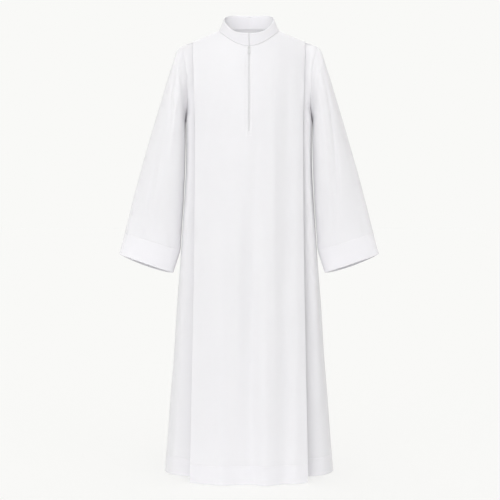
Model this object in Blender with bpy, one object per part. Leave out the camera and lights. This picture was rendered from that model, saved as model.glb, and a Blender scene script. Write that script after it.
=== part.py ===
"""Alb robe: a long white robe with a stand collar, a centre-front zip, a front and a back panel that
stand proud of the side pieces on long pleats, and wide set-in sleeves. It is filled out and hollow.

Metres, +Z up. The front faces -Y and the wearer's left is +X. The origin is the centre of the neck at the
height where the shoulder seams meet the collar. Each piece of cloth is a closed wall: an outer surface
worked out row by row from the sizes below, and an inner one moved in by the cloth's thickness.
"""

from dataclasses import dataclass
import math

import bmesh
import bpy
import numpy as np

# Cloth
SHARP_EDGE = math.radians(40)
SEAM_GAP = 0.0003
CLOTH = 0.0012
HEM_CLOTH = 0.0022
COLLAR_CLOTH = 0.0022
TAPE_CLOTH = 0.0010

# Heights
UNDERARM_Z = -0.285
ZIP_END_Z = -0.327
HEM_STITCH_Z = -1.345
HEM_STEP = 0.002
HEM_Z = -1.400
LOWER_ROWS = 9

# Neck and shoulders
NECK_HALF_WIDTH = 0.092
NECK_FRONT_DROP = 0.060
NECK_FRONT_POWER = 4.1
NECK_BACK_RISE = 0.018
NECK_BACK_POWER = 4
SHOULDER_SLOPE = 0.40
NECK_DOME = 0.01978
SHOULDER_X = 0.213
BACK_NECK_DOME = 0.05
CHEST_POWERS = {-1: 0.43, 1: 0.39}
SHOULDER_POWER = 0.72
POWER_SPREAD = 1.5
RIDGE_NECK_Y = -0.013
RIDGE_SHOULDER_Y = -0.005
PANEL_TOP_HALF_WIDTH = 0.177
NECK_COLUMNS = 7
SHOULDER_COLUMNS = 3
UPPER_ROWS = 10

# Armhole
ARMHOLE_DEPTH = 0.045
ARMHOLE_POWER = 0.55
ARMHOLE_BOW = 0.013
SLEEVE_POWERS = {-1: 0.36, 1: 0.58}
SLEEVE_BACK_SHARE = 1.28
SLEEVE_BLEND_RINGS = 4

# Pleats between a panel and the side pieces
PLEAT_LAP = 0.016
PLEAT_TOP = 0.0046
PLEAT_GROWTH = 0.8
PLEAT_SHORTEST = 0.0005
PLEAT_FOLD_SPACE = 0.00035
PLEAT_CORNER_RADIUS = 0.0005
PLEAT_FOLD_STEPS = 4
PLEAT_CORNER_STEPS = 3
LIP = 0.006
SIDE_COLUMNS = 7
SIDE_ROUNDNESS_POWER = 3
SIDE_FULL_ACROSS = 0.11
SIDE_FULL_FORWARD = 0.20
PANEL_ROUNDNESS = 2.3
FOLD_EDGE_POWER = 6

# Collar
COLLAR_COLUMNS = 2 * NECK_COLUMNS
COLLAR_ROWS = 4
COLLAR_TOP_HALF_WIDTH = 0.0772
COLLAR_TOP_HALF_DEPTH = 0.0670
COLLAR_TOP_Y = -0.0065
COLLAR_BACK_TOP_Z = 0.0584
COLLAR_FALL = 0.0784
COLLAR_FALL_POWER = 1.757
COLLAR_FRONT_POWER = 8

# Zip
SLIT_NECK = 0.0012
SLIT_SLIDER = 0.0009
SLIT = 0.0008
SLIDER_Z = -0.0675
SLIT_NARROW_Z = -0.088
TAPE_EDGE = 0.0010
TAPE_WIDTH = 0.011
TAPE_COLUMNS = 3
SLIDER_BOXES = {
    "slider_web": ((-0.00045, -0.0007, -0.0015), (0.00045, 0.0033, 0.0015)),
    "slider_front": ((-0.0036, -0.0011, -0.0060), (0.0036, -0.0004, 0.0060)),
    "slider_back": ((-0.0026, 0.0028, -0.0040), (0.0026, 0.0038, 0.0040)),
}
SLOPE_STEP = 0.004
BAIL_HALF_THICKNESS = 0.0004
BAIL_HEIGHT = 0.0022
BAIL_OUTER = 0.0020
BAIL_INNER = 0.0011
BAIL_SIDES = 20
PULL_HALF_THICKNESS = 0.0006
PULL_LENGTH = 0.022
PULL_TOP_HALF_WIDTH = 0.0022
PULL_HALF_WIDTH = 0.0034
PULL_SIDES = 24
WINDOW_HALF_WIDTH = 0.0012
WINDOW_LENGTH = 0.0026

FRONT = -1
BACK = 1


@dataclass(frozen=True)
class Level:
    """The robe's section at one height: half the body's width, the panels' half width and depths, the
    pleat's depth, and how far the side piece swells, from 0 to 1."""

    z: float
    body_half_width: float
    panel_half_width: float
    front_centre: float
    front_edge: float
    back_centre: float
    back_edge: float
    pleat: float
    side_fullness: float


LEVELS = (
    Level(-0.285, 0.1990, 0.1675, 0.126, 0.073, 0.118, 0.070, 0.0180, 1.0),
    Level(-0.440, 0.2000, 0.1675, 0.135, 0.085, 0.122, 0.078, 0.0265, 1.0),
    Level(-0.558, 0.2065, 0.1680, 0.142, 0.094, 0.127, 0.086, 0.0325, 1.0),
    Level(-0.650, 0.2128, 0.1685, 0.147, 0.101, 0.132, 0.092, 0.0375, 0.9),
    Level(-0.753, 0.2205, 0.1695, 0.154, 0.110, 0.138, 0.099, 0.0430, 0.7),
    Level(-0.861, 0.2296, 0.1710, 0.161, 0.119, 0.146, 0.108, 0.0485, 0.45),
    Level(-1.055, 0.2423, 0.1740, 0.176, 0.135, 0.162, 0.124, 0.0585, 0.2),
    Level(-1.138, 0.2497, 0.1755, 0.182, 0.142, 0.169, 0.131, 0.0630, 0.1),
    Level(-1.275, 0.2600, 0.1780, 0.191, 0.153, 0.180, 0.143, 0.0700, 0.0),
    Level(-1.400, 0.2700, 0.1800, 0.200, 0.1625, 0.190, 0.153, 0.0765, 0.0),
)


@dataclass(frozen=True)
class Fold:
    """A long soft fold that runs down a panel, deepest at the hem. Depth is negative for a trough."""

    start_z: float
    start_x: float
    hem_x: float
    depth: float
    half_width: float


FRONT_FOLDS = (
    Fold(-0.36, 0.019, -0.036, -0.0090, 0.028),
    Fold(-0.14, 0.103, 0.103, -0.0080, 0.022),
    Fold(-0.60, -0.098, -0.089, 0.0045, 0.026),
    Fold(-0.50, 0.052, 0.047, 0.0050, 0.024),
)
BACK_FOLDS = (
    Fold(-0.20, -0.030, -0.078, -0.0085, 0.026),
    Fold(-0.32, 0.052, 0.070, -0.0090, 0.028),
    Fold(-0.46, 0.004, -0.006, 0.0060, 0.030),
)


@dataclass(frozen=True)
class Ring:
    """A sleeve's section: its outer and inner ends (x, y, z), half its depth, and the fall of its back."""

    outer: tuple
    inner: tuple
    half_depth: float
    back_fall: float
    thickness: float = CLOTH


SLEEVE = (
    Ring((0.2133, -0.005, -0.0484), (0.1993, 0.000, -0.2850), ARMHOLE_DEPTH, 0.000),
    Ring((0.2235, -0.005, -0.0568), (0.2012, -0.003, -0.2900), 0.053, 0.000),
    Ring((0.2315, -0.006, -0.0712), (0.2013, -0.008, -0.2970), 0.059, 0.000),
    Ring((0.2400, -0.007, -0.0997), (0.2010, -0.014, -0.3100), 0.064, 0.000),
    Ring((0.2560, -0.008, -0.1505), (0.2004, -0.021, -0.3360), 0.067, 0.000),
    Ring((0.2765, -0.009, -0.2180), (0.2007, -0.026, -0.3780), 0.068, 0.000),
    Ring((0.2990, -0.010, -0.2920), (0.2018, -0.028, -0.4320), 0.067, 0.000),
    Ring((0.3225, -0.012, -0.3720), (0.2042, -0.028, -0.4900), 0.063, 0.000),
    Ring((0.3460, -0.014, -0.4540), (0.2070, -0.028, -0.5460), 0.058, 0.001),
    Ring((0.3690, -0.016, -0.5400), (0.2110, -0.026, -0.6030), 0.052, 0.003),
    Ring((0.3860, -0.018, -0.6070), (0.2150, -0.025, -0.6560), 0.047, 0.006),
    Ring((0.3932, -0.019, -0.6370), (0.2173, -0.024, -0.6920), 0.045, 0.008),
    Ring((0.3937, -0.019, -0.6390), (0.2179, -0.024, -0.6940), 0.045, 0.008, HEM_CLOTH),
    Ring((0.4022, -0.020, -0.6725), (0.2285, -0.024, -0.7290), 0.041, 0.011, HEM_CLOTH),
    Ring((0.4115, -0.020, -0.7045), (0.2395, -0.024, -0.7635), 0.038, 0.014, HEM_CLOTH),
)


def lerp(start, end, share):
    """The value a share of the way from start to end."""
    return start + (end - start) * share


def unit(vectors):
    """The vectors, each made one long."""
    return vectors / np.linalg.norm(vectors, axis=-1, keepdims=True)


def at_level(name, z):
    """A column of LEVELS at height z."""
    heights = [-level.z for level in LEVELS]
    return np.interp(-np.asarray(z), heights, [getattr(level, name) for level in LEVELS])


def row_shares():
    """Shares of the way from the shoulder to the underarm, close together at both ends."""
    return (1 - np.cos(np.pi * np.arange(UPPER_ROWS + 1) / UPPER_ROWS)) / 2


def lower_heights():
    """Heights of the rows below the underarm. Two close rows make the step where the hem is turned up."""
    even = np.linspace(ZIP_END_Z, HEM_STITCH_Z, LOWER_ROWS + 1)
    return np.array([*even, HEM_STITCH_Z - HEM_STEP, lerp(HEM_STITCH_Z, HEM_Z, 0.5), HEM_Z])


def thicknesses():
    """The cloth's thickness in each row of a body piece: double below the hem's stitches."""
    lower = np.where(lower_heights() < HEM_STITCH_Z - HEM_STEP / 2, HEM_CLOTH, CLOTH)
    return np.concatenate([np.full(UPPER_ROWS + 1, CLOTH), lower])


def ridge_height(x, face):
    """The shoulder line's height over x. Inside the neck it goes on as a smooth dome, higher at the back."""
    distance = np.abs(x)
    straight = SHOULDER_SLOPE * (NECK_HALF_WIDTH - distance)
    inside = np.clip(1 - (distance / NECK_HALF_WIDTH) ** 2, 0, 1)
    dome = NECK_DOME * inside
    if face == BACK:
        dome = dome + BACK_NECK_DOME * inside**2
    return np.where(distance < NECK_HALF_WIDTH, dome, straight)


def ridge_y(x):
    """The shoulder seam's place from front to back over x."""
    share = np.clip((np.abs(x) - NECK_HALF_WIDTH) / (SHOULDER_X - NECK_HALF_WIDTH), 0, 1)
    return lerp(RIDGE_NECK_Y, RIDGE_SHOULDER_Y, share)


def panel_depth(x, z, face):
    """How far a panel stands from the middle plane: flat in the middle and rounded back to its edges."""
    side = "front" if face == FRONT else "back"
    centre = at_level(side + "_centre", z)
    edge = at_level(side + "_edge", z)
    across = np.abs(x) / at_level("panel_half_width", z)
    return centre - (centre - edge) * across**PANEL_ROUNDNESS


def fold_relief(x, z, face):
    """The panel's long folds, which grow from nothing to their full depth at the hem."""
    relief = np.zeros(np.broadcast(x, z).shape)
    for fold in FRONT_FOLDS if face == FRONT else BACK_FOLDS:
        share = np.clip((fold.start_z - z) / (fold.start_z - HEM_Z), 0, 1)
        middle = lerp(fold.start_x, fold.hem_x, share)
        bump = np.exp(-(((x - middle) / fold.half_width) ** 2))
        relief += fold.depth * np.sin(share * np.pi / 2) * bump
    across = np.clip(np.abs(x) / at_level("panel_half_width", z), 0, 1)
    return relief * (1 - across**FOLD_EDGE_POWER)


def panel_y(x, z, face):
    """A panel's surface. Above the underarm it rises out of the shoulder line and rounds over the chest."""
    ridge = ridge_height(x, face)
    below = np.clip((ridge - z) / (ridge - UNDERARM_Z), 0, 1)
    spread = np.clip(np.abs(x) / PANEL_TOP_HALF_WIDTH, 0, 1) ** POWER_SPREAD
    power = lerp(CHEST_POWERS[face], SHOULDER_POWER, spread)
    out = face * (panel_depth(x, z, face) + fold_relief(x, z, face))
    return lerp(ridge_y(x), out, np.sin(below * np.pi / 2) ** power)


def neck_height(angle):
    """The neck seam's height at an angle round the neck, 0 at the centre front."""
    front = (1 + np.cos(angle)) / 2
    return -NECK_FRONT_DROP * front**NECK_FRONT_POWER + NECK_BACK_RISE * (1 - front) ** NECK_BACK_POWER


def neck_point(angle):
    """A point of the neck seam, which lies on the panels' own surface."""
    angle = np.asarray(angle, float)
    x = NECK_HALF_WIDTH * np.sin(angle)
    z = neck_height(angle)
    y = np.where(np.cos(angle) > 0, panel_y(x, z, FRONT), panel_y(x, z, BACK))
    return np.stack([x, y, z], axis=-1)


def slit_half_width(z):
    """Half the zip's gap: widest at the neck, narrow below the slider."""
    return np.interp(-z, [NECK_FRONT_DROP, -SLIDER_Z, -SLIT_NARROW_Z], [SLIT_NECK, SLIT_SLIDER, SLIT])


def armhole_point(share, face):
    """A point of the armhole seam, from the shoulder (0) down to the underarm (1)."""
    x = lerp(SHOULDER_X, at_level("body_half_width", UNDERARM_Z), share)
    x = x - ARMHOLE_BOW * np.sin(np.pi * share)
    depth = ARMHOLE_DEPTH * np.sin(np.pi * share) ** ARMHOLE_POWER
    y = lerp(RIDGE_SHOULDER_Y, 0, share) + face * depth
    top = SHOULDER_SLOPE * (NECK_HALF_WIDTH - SHOULDER_X)
    return np.stack([x, y, lerp(top, UNDERARM_Z, share)], axis=-1)


def panel_columns(face, mirror):
    """One half of a panel, from its centre line to its fold, as (rows, columns, 3). mirror is the side's
    sign of x; the points come out on the side of +X, and the caller turns them over."""
    angles = np.linspace(0, np.pi / 2, NECK_COLUMNS + 1)
    past = np.linspace(NECK_HALF_WIDTH, PANEL_TOP_HALF_WIDTH, SHOULDER_COLUMNS + 1)[1:]
    top_x = np.concatenate([NECK_HALF_WIDTH * np.sin(angles), past])
    neck = neck_height(angles if face == FRONT else np.pi - angles)
    top_z = np.concatenate([neck, ridge_height(past, face)])
    across = np.linspace(0, 1, len(top_x))
    chest_x = at_level("panel_half_width", UNDERARM_Z) * across
    share = row_shares()[:, None]
    x_upper = lerp(top_x[None, :], chest_x[None, :], share)
    z_upper = lerp(top_z[None, :], UNDERARM_Z, share)
    heights = lower_heights()[:, None]
    x_lower = at_level("panel_half_width", heights) * across[None, :]
    z_lower = np.broadcast_to(heights, x_lower.shape)
    x = np.concatenate([x_upper, x_lower])
    z = np.concatenate([z_upper, z_lower])
    if face == FRONT:
        x[:, 0] = slit_half_width(z[:, 0])
    y = panel_y(mirror * x, z, face)
    y[0, NECK_COLUMNS:] += face * SEAM_GAP / 2
    return np.stack([x, y, z], axis=-1)


def pleat_frames(edge, before, face):
    """Two unit vectors in each row at a panel's edge: along the row, level from front to back, and out."""
    along = edge - before
    along[:, 1] = 0
    along[UPPER_ROWS + 1 :] = (1, 0, 0)
    along = unit(along)
    down = np.gradient(edge, axis=0)
    out = np.stack([np.zeros(len(edge)), face * -down[:, 2], face * down[:, 1]], axis=-1)
    out[0] = (0, 0, 1)
    out[UPPER_ROWS:] = (0, face, 0)
    out = unit(out)
    out = unit(out - (out * along).sum(axis=1, keepdims=True) * along)
    return along, out


def border_points(face):
    """The outer border of a side piece on the side of +X: the armhole seam, and below it the side seam."""
    heights = lower_heights()
    arm = armhole_point(row_shares(), face)
    side = np.stack([at_level("body_half_width", heights), np.zeros(len(heights)), heights], axis=-1)
    border = np.concatenate([arm, side])
    border[0, 1] += face * SEAM_GAP / 2
    border[UPPER_ROWS:, 1] += face * SEAM_GAP / 2
    return border


def pleat_depths():
    """How far the panel stands proud of the side pieces in each row."""
    upper = lerp(PLEAT_TOP, at_level("pleat", UNDERARM_Z), row_shares() ** PLEAT_GROWTH)
    return np.concatenate([upper, at_level("pleat", lower_heights())])


def angle_in(vectors, along, out):
    """The angle by which each vector points in, away from its row's out direction."""
    return np.arctan2(-(vectors * out).sum(axis=1), (vectors * along).sum(axis=1))


def roundness():
    """How round each row of a side piece is, from 0 at the shoulder to 1 below the underarm."""
    return np.concatenate([row_shares() ** SIDE_ROUNDNESS_POWER, np.ones(len(lower_heights()))])


def side_curve(corner, border, share):
    """Points of a side piece. Below the underarm a row is a quarter of an ellipse from the pleat's corner
    to the side seam, swollen in the middle beside the sleeve; towards the shoulder it straightens, and
    meets the armhole seam square."""
    round_share = roundness()[:, None]
    upper = np.full(UPPER_ROWS + 1, at_level("side_fullness", UNDERARM_Z))
    fullness = np.concatenate([upper, at_level("side_fullness", lower_heights())])[:, None]
    swell = np.sin(share * np.pi) ** 2 * fullness
    across = lerp(share, np.sin(share * np.pi / 2) + SIDE_FULL_ACROSS * swell, round_share)
    back = 1 - np.cos(share * np.pi / 2) - SIDE_FULL_FORWARD * swell
    back = lerp((1 - np.cos(share * np.pi)) / 2, back, round_share)
    gone = np.stack([across, back, across], axis=-1)
    return corner[:, None, :] + (border - corner)[:, None, :] * gone


def lip_share(corner, border, distance):
    """The share along a side piece's rows at which they are about a distance from the pleat's corner."""
    width = np.linalg.norm((border - corner)[:, [0, 2]], axis=1)
    return distance / width / lerp(1, np.pi / 2, roundness())


def half_panel(face, mirror):
    """One half of a panel with its pleat, as (points, normals), and the side piece's corner and normal."""
    panel = panel_columns(face, mirror)
    edge = panel[:, -1]
    along, out = pleat_frames(edge, panel[:, -2], face)
    lead = angle_in(2 * (edge - panel[:, -2]) - (panel[:, -2] - panel[:, -3]), along, out)
    depth = pleat_depths()
    fold_radius = thicknesses() + PLEAT_FOLD_SPACE
    turn = np.pi / 2 + np.arctan(PLEAT_LAP / depth)
    border = border_points(face)
    guess = edge - depth[:, None] * out - PLEAT_LAP * along
    level = (border - guess) * (1, 0, 1)
    lean = angle_in(level, along, out)
    drop = fold_radius * (np.cos(lead) - np.cos(turn))
    drop += PLEAT_CORNER_RADIUS * (np.cos(lean) - np.cos(turn))
    straight = np.maximum((depth - drop) / np.sin(turn), PLEAT_SHORTEST)

    def normal(angle):
        return np.sin(angle)[:, None] * along + np.cos(angle)[:, None] * out

    points = []
    normals = [normal(lead)]
    centre = edge - fold_radius[:, None] * normal(lead)
    for step in range(1, PLEAT_FOLD_STEPS + 1):
        angle = lerp(lead, turn, step / PLEAT_FOLD_STEPS)
        points.append(centre + fold_radius[:, None] * normal(angle))
        normals.append(normal(angle))
    direction = np.cos(turn)[:, None] * along - np.sin(turn)[:, None] * out
    points.append(points[-1] + straight[:, None] * direction)
    normals.append(normal(turn))
    centre = points[-1] + PLEAT_CORNER_RADIUS * normal(turn)
    for step in range(1, PLEAT_CORNER_STEPS + 1):
        angle = lerp(turn, lean, step / PLEAT_CORNER_STEPS)
        points.append(centre - PLEAT_CORNER_RADIUS * normal(angle))
        normals.append(normal(angle))
    corner = points[-1]
    share = lip_share(corner, border, LIP)
    points.append(side_curve(corner, border, share[:, None])[:, 0])
    normals.append(normal(lean))
    surface = grid_normals(panel, face)
    surface[0, NECK_COLUMNS:] = normal(lead)[0]
    surface[:, -1] = normals[0]
    all_points = np.concatenate([panel, np.stack(points, axis=1)], axis=1)
    all_normals = np.concatenate([surface, np.stack(normals[1:], axis=1)], axis=1)
    return all_points, all_normals, corner, normal(lean)


def grid_normals(points, sign, closed=False):
    """Unit normals of a grid of points, from the directions of its rows and columns."""
    if closed:
        across = np.roll(points, -1, axis=1) - np.roll(points, 1, axis=1)
    else:
        across = np.gradient(points, axis=1)
    down = np.gradient(points, axis=0)
    return unit(np.cross(across, down) * sign)


def mirrored(points, mirror):
    """The points, turned over to the side of -X where mirror is -1."""
    return points * (mirror, 1, 1)


def cloth_wall(name, points, normals, thickness, material, closed=False, left_out=None):
    """A closed wall between a grid of outer points and the same points moved in along their normals.

    closed joins the last column to the first. left_out(row, column) is true for a cell that is open.
    """
    rows, columns = points.shape[:2]
    inner = points - normals * np.broadcast_to(thickness, rows)[:, None, None]
    corners = np.concatenate([points.reshape(-1, 3), inner.reshape(-1, 3)])
    inside = rows * columns
    faces = []
    borders = set()
    for row in range(rows - 1):
        for column in range(columns if closed else columns - 1):
            if left_out and left_out(row, column):
                continue
            after = (column + 1) % columns
            cell = [
                row * columns + column,
                (row + 1) * columns + column,
                (row + 1) * columns + after,
                row * columns + after,
            ]
            faces.append(cell)
            faces.append([corner + inside for corner in reversed(cell)])
            for start, end in zip(cell, cell[1:] + cell[:1]):
                if (end, start) in borders:
                    borders.remove((end, start))
                else:
                    borders.add((start, end))
    for start, end in sorted(borders):
        faces.append([end, start, start + inside, end + inside])
    return solid_object(name, corners, faces, material)


def solid_object(name, corners, faces, material):
    """A mesh object from corners and faces, smooth but for its sharp edges, with its faces pointing out."""
    mesh = bpy.data.meshes.new(name)
    mesh.from_pydata(np.asarray(corners).tolist(), [], faces)
    shape = bmesh.new()
    shape.from_mesh(mesh)
    bmesh.ops.triangulate(shape, faces=shape.faces[:])
    if shape.calc_volume(signed=True) < 0:
        bmesh.ops.reverse_faces(shape, faces=shape.faces[:])
    shape.to_mesh(mesh)
    shape.free()
    mesh.materials.append(material)
    mesh.shade_smooth()
    mesh.set_sharp_from_angle(angle=SHARP_EDGE)
    made = bpy.data.objects.new(name, mesh)
    bpy.context.scene.collection.objects.link(made)
    return made


def painted(name, colour, roughness, metallic=0.0):
    """A plain Principled material."""
    material = bpy.data.materials.new(name)
    material.use_nodes = True
    shader = material.node_tree.nodes["Principled BSDF"]
    shader.inputs["Base Color"].default_value = (*colour, 1)
    shader.inputs["Roughness"].default_value = roughness
    shader.inputs["Metallic"].default_value = metallic
    return material


def side_name(mirror):
    """The wearer's side: left is +X."""
    return "left" if mirror > 0 else "right"


def joined_halves(left, right, face):
    """The grid of a whole panel from its two halves. The back's share the column at the centre."""
    turned = mirrored(right, -1)[:, ::-1]
    return np.concatenate([turned if face == FRONT else turned[:, :-1], left], axis=1)


def build_panel(name, face, material):
    """A panel from fold to fold. The front one is open along the zip. It returns its two halves."""
    halves = {mirror: half_panel(face, mirror) for mirror in (1, -1)}
    points, normals = (joined_halves(halves[1][part], halves[-1][part], face) for part in (0, 1))
    centre = points.shape[1] // 2
    if face == BACK:
        normals[:, centre, 0] = 0
    zip_end = UPPER_ROWS + 1

    def in_slit(row, column):
        return face == FRONT and column == centre - 1 and row < zip_end

    cloth_wall(name, points, normals, thicknesses(), material, left_out=in_slit)
    return halves


def build_side(name, face, mirror, corner, start_normal, material):
    """A side piece, from the panel's pleat to the armhole and side seam."""
    border = border_points(face)
    start = lip_share(corner, border, LIP + SEAM_GAP)
    shares = lerp(start[:, None], 1, np.linspace(0, 1, SIDE_COLUMNS + 1)[None, :])
    points = side_curve(corner, border, shares)
    normals = grid_normals(points, face)
    normals[:, 0] = start_normal
    normals[0, :, 1] = 0
    normals[UPPER_ROWS:, -1] = (1, 0, 0)
    normals = unit(normals)
    cloth_wall(name, mirrored(points, mirror), mirrored(normals, mirror), thicknesses(), material)


def build_sleeve(name, mirror, material):
    """A sleeve: rings from the armhole to the cuff. Each ring goes down its front and up its back."""
    shares = row_shares()
    share = np.concatenate([shares, shares[-2:0:-1]])
    face = np.concatenate([np.full(len(shares), FRONT), np.full(len(shares) - 2, BACK)])
    power = np.where(face == FRONT, SLEEVE_POWERS[FRONT], SLEEVE_POWERS[BACK])
    fullness = np.where(face == FRONT, 1, SLEEVE_BACK_SHARE)
    rings = []
    for number, ring in enumerate(SLEEVE):
        away = min(number / SLEEVE_BLEND_RINGS, 1)
        outer = np.array(ring.outer)
        inner = np.array(ring.inner)
        points = lerp(outer, inner, share[:, None])
        bulge = np.sin(np.pi * share) ** lerp(ARMHOLE_POWER, power, away)
        points[:, 0] -= ARMHOLE_BOW * np.sin(np.pi * share) * (1 - away)
        points[:, 1] += face * ring.half_depth * bulge * lerp(1, fullness, away)
        points[:, 2] -= ring.back_fall * bulge * (face == BACK)
        rings.append(points)
    points = np.array(rings)
    normals = grid_normals(points, 1, closed=True)
    normals[0, :, 0] = np.minimum(normals[0, :, 0], 0)
    normals = unit(normals)
    thickness = np.array([ring.thickness for ring in SLEEVE])
    cloth_wall(name, mirrored(points, mirror), mirrored(normals, mirror), thickness, material, closed=True)


def collar_top(angle):
    """A point of the collar's top edge, which falls towards the front."""
    front = (1 + np.cos(angle)) / 2
    x = COLLAR_TOP_HALF_WIDTH * np.sin(angle)
    y = COLLAR_TOP_Y - COLLAR_TOP_HALF_DEPTH * np.cos(angle)
    fall = front**COLLAR_FALL_POWER + front**COLLAR_FRONT_POWER * (1 - front)
    return np.stack([x, y, COLLAR_BACK_TOP_Z - COLLAR_FALL * fall], axis=-1)


def build_collar(name, mirror, material):
    """Half the stand collar, from the centre front round to the centre back."""
    angles = np.linspace(0, np.pi, COLLAR_COLUMNS + 1)
    base = neck_point(angles) + (0, 0, SEAM_GAP)
    top = collar_top(angles)
    share = np.linspace(0, 1, COLLAR_ROWS + 1)[:, None, None]
    points = lerp(base[None], top[None], share)
    points[:, 0, 0] = SLIT_NECK
    points[:, -1, 0] = SEAM_GAP / 2
    normals = grid_normals(points, -1)
    normals[[0, -1], :, 2] = 0
    normals[:, [0, -1], 0] = 0
    normals = unit(normals)
    cloth_wall(name, mirrored(points, mirror), mirrored(normals, mirror), COLLAR_CLOTH, material)


def build_tape(name, mirror, half, material):
    """A zip tape behind the front panel's edge, made from the panel's own points, moved in."""
    points, normals = half[0], half[1]
    rows = slice(0, UPPER_ROWS + 2)
    first, second = points[rows, 0], points[rows, 1]
    moved = CLOTH + SEAM_GAP
    width = np.linspace(TAPE_EDGE, TAPE_EDGE + TAPE_WIDTH, TAPE_COLUMNS)
    share = (width[None, :] - first[:, :1]) / (second[:, :1] - first[:, :1])
    tape = lerp(first[:, None], second[:, None], share[..., None])
    tape_normals = unit(lerp(normals[rows, 0][:, None], normals[rows, 1][:, None], share[..., None]))
    tape_normals = unit(tape_normals * (0, 1, 1))
    tape = tape - moved * tape_normals
    cloth_wall(name, mirrored(tape, mirror), mirrored(tape_normals, mirror), TAPE_CLOTH, material)


def ring_plate(outer, inner, half_thickness, axis):
    """Corners and faces of a flat plate with a window: two loops of (u, v) with as many points each."""
    count = len(outer)
    flat = np.concatenate([outer, inner])
    levels = []
    for height in (half_thickness, -half_thickness):
        levels.append(np.insert(flat, axis, height, axis=1))
    corners = np.concatenate(levels)
    faces = []
    for index in range(count):
        after = (index + 1) % count
        faces.append([index, after, count + after, count + index])
        faces.append([3 * count + index, 3 * count + after, 2 * count + after, 2 * count + index])
        faces.append([2 * count + index, 2 * count + after, after, index])
        faces.append([count + index, count + after, 3 * count + after, 3 * count + index])
    return corners, faces


def cloth_slope():
    """The front panel's lean at the slider: the angle from upright, top towards the neck."""
    low = panel_y(0.0, SLIDER_Z - SLOPE_STEP, FRONT)
    high = panel_y(0.0, SLIDER_Z + SLOPE_STEP, FRONT)
    return math.atan2(high - low, 2 * SLOPE_STEP)


def slider_place():
    """The panel's surface at the slider, on the centre line."""
    return 0.0, float(panel_y(0.0, SLIDER_Z, FRONT)), SLIDER_Z


def hinge_place():
    """The middle of the bail that the pull hangs in."""
    slope = cloth_slope()
    _, y, z = slider_place()
    return 0.0, y - BAIL_HEIGHT * math.cos(slope), z + BAIL_HEIGHT * math.sin(slope)


def box_helper(name, low, high, place, slope):
    """A box used to build the slider, placed in the slider's frame and left out of the result."""
    mesh = bpy.data.meshes.new(name)
    shape = bmesh.new()
    bmesh.ops.create_cube(shape, size=1)
    for corner in shape.verts:
        for axis in range(3):
            corner.co[axis] = lerp(low[axis], high[axis], corner.co[axis] + 0.5)
    shape.to_mesh(mesh)
    shape.free()
    helper = bpy.data.objects.new(name, mesh)
    helper.location = place
    helper.rotation_euler.x = -slope
    helper.hide_render = True
    helper.display_type = "WIRE"
    bpy.context.scene.collection.objects.link(helper)
    return helper


def build_slider(material):
    """The slider: a plate behind the tapes, a web through the slit, a front plate and an upright bail."""
    turns = np.linspace(0, 2 * np.pi, BAIL_SIDES, endpoint=False)
    circle = np.stack([np.cos(turns), np.sin(turns)], axis=-1)
    middle = (-BAIL_HEIGHT, 0)
    outer, inner = circle * BAIL_OUTER + middle, circle * BAIL_INNER + middle
    corners, faces = ring_plate(outer, inner, BAIL_HALF_THICKNESS, axis=0)
    slider = solid_object("zip_slider", corners, faces, material)
    slope = cloth_slope()
    place = slider_place()
    slider.location = place
    slider.rotation_euler.x = -slope
    for name, (low, high) in SLIDER_BOXES.items():
        joined = slider.modifiers.new(name, "BOOLEAN")
        joined.operation = "UNION"
        joined.object = box_helper(name, low, high, place, slope)
    return slider


def pull_outline():
    """The pull's outline as a loop of (x, z): a flat top, sides that spread, and a round lower end. The
    loop has a quarter of its points on the top edge, as its window's has."""
    count = PULL_SIDES // 4
    top = np.linspace(-1, 1, count, endpoint=False) * PULL_TOP_HALF_WIDTH
    top = np.stack([top, np.full(count, PULL_HALF_THICKNESS)], axis=-1)
    middle = PULL_HALF_WIDTH - PULL_LENGTH
    side_z = np.linspace(PULL_HALF_THICKNESS, middle, count, endpoint=False)
    spread = (PULL_HALF_THICKNESS - side_z) / (PULL_HALF_THICKNESS - middle)
    side = np.stack([lerp(PULL_TOP_HALF_WIDTH, PULL_HALF_WIDTH, spread), side_z], axis=-1)
    turns = np.linspace(0, np.pi, count, endpoint=False)
    bottom = np.stack([np.cos(turns), -np.sin(turns)], axis=-1) * PULL_HALF_WIDTH + (0, middle)
    other_z = np.linspace(middle, PULL_HALF_THICKNESS, count, endpoint=False)
    spread = (PULL_HALF_THICKNESS - other_z) / (PULL_HALF_THICKNESS - middle)
    other = np.stack([-lerp(PULL_TOP_HALF_WIDTH, PULL_HALF_WIDTH, spread), other_z], axis=-1)
    return np.concatenate([top, side, bottom, other])


def window_outline():
    """The pull's window as a loop of (x, z), a quarter of its points on each side."""
    count = PULL_SIDES // 4
    run = np.linspace(-1, 1, count, endpoint=False)
    one = np.ones(count)
    sides = [(run, one), (one, -run), (-run, -one), (-one, run)]
    loop = np.concatenate([np.stack(side, axis=-1) for side in sides])
    middle = -PULL_HALF_THICKNESS - WINDOW_LENGTH / 2
    return loop * (WINDOW_HALF_WIDTH, WINDOW_LENGTH / 2) + (0, middle)


def build_pull(material):
    """The drop-shaped pull: its window's top bar lies in the bail and is the hinge."""
    corners, faces = ring_plate(pull_outline(), window_outline(), PULL_HALF_THICKNESS, axis=1)
    pull = solid_object("zip_pull", corners, faces, material)
    pull.location = hinge_place()
    pull.rotation_euler.x = -cloth_slope()
    return pull


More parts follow.
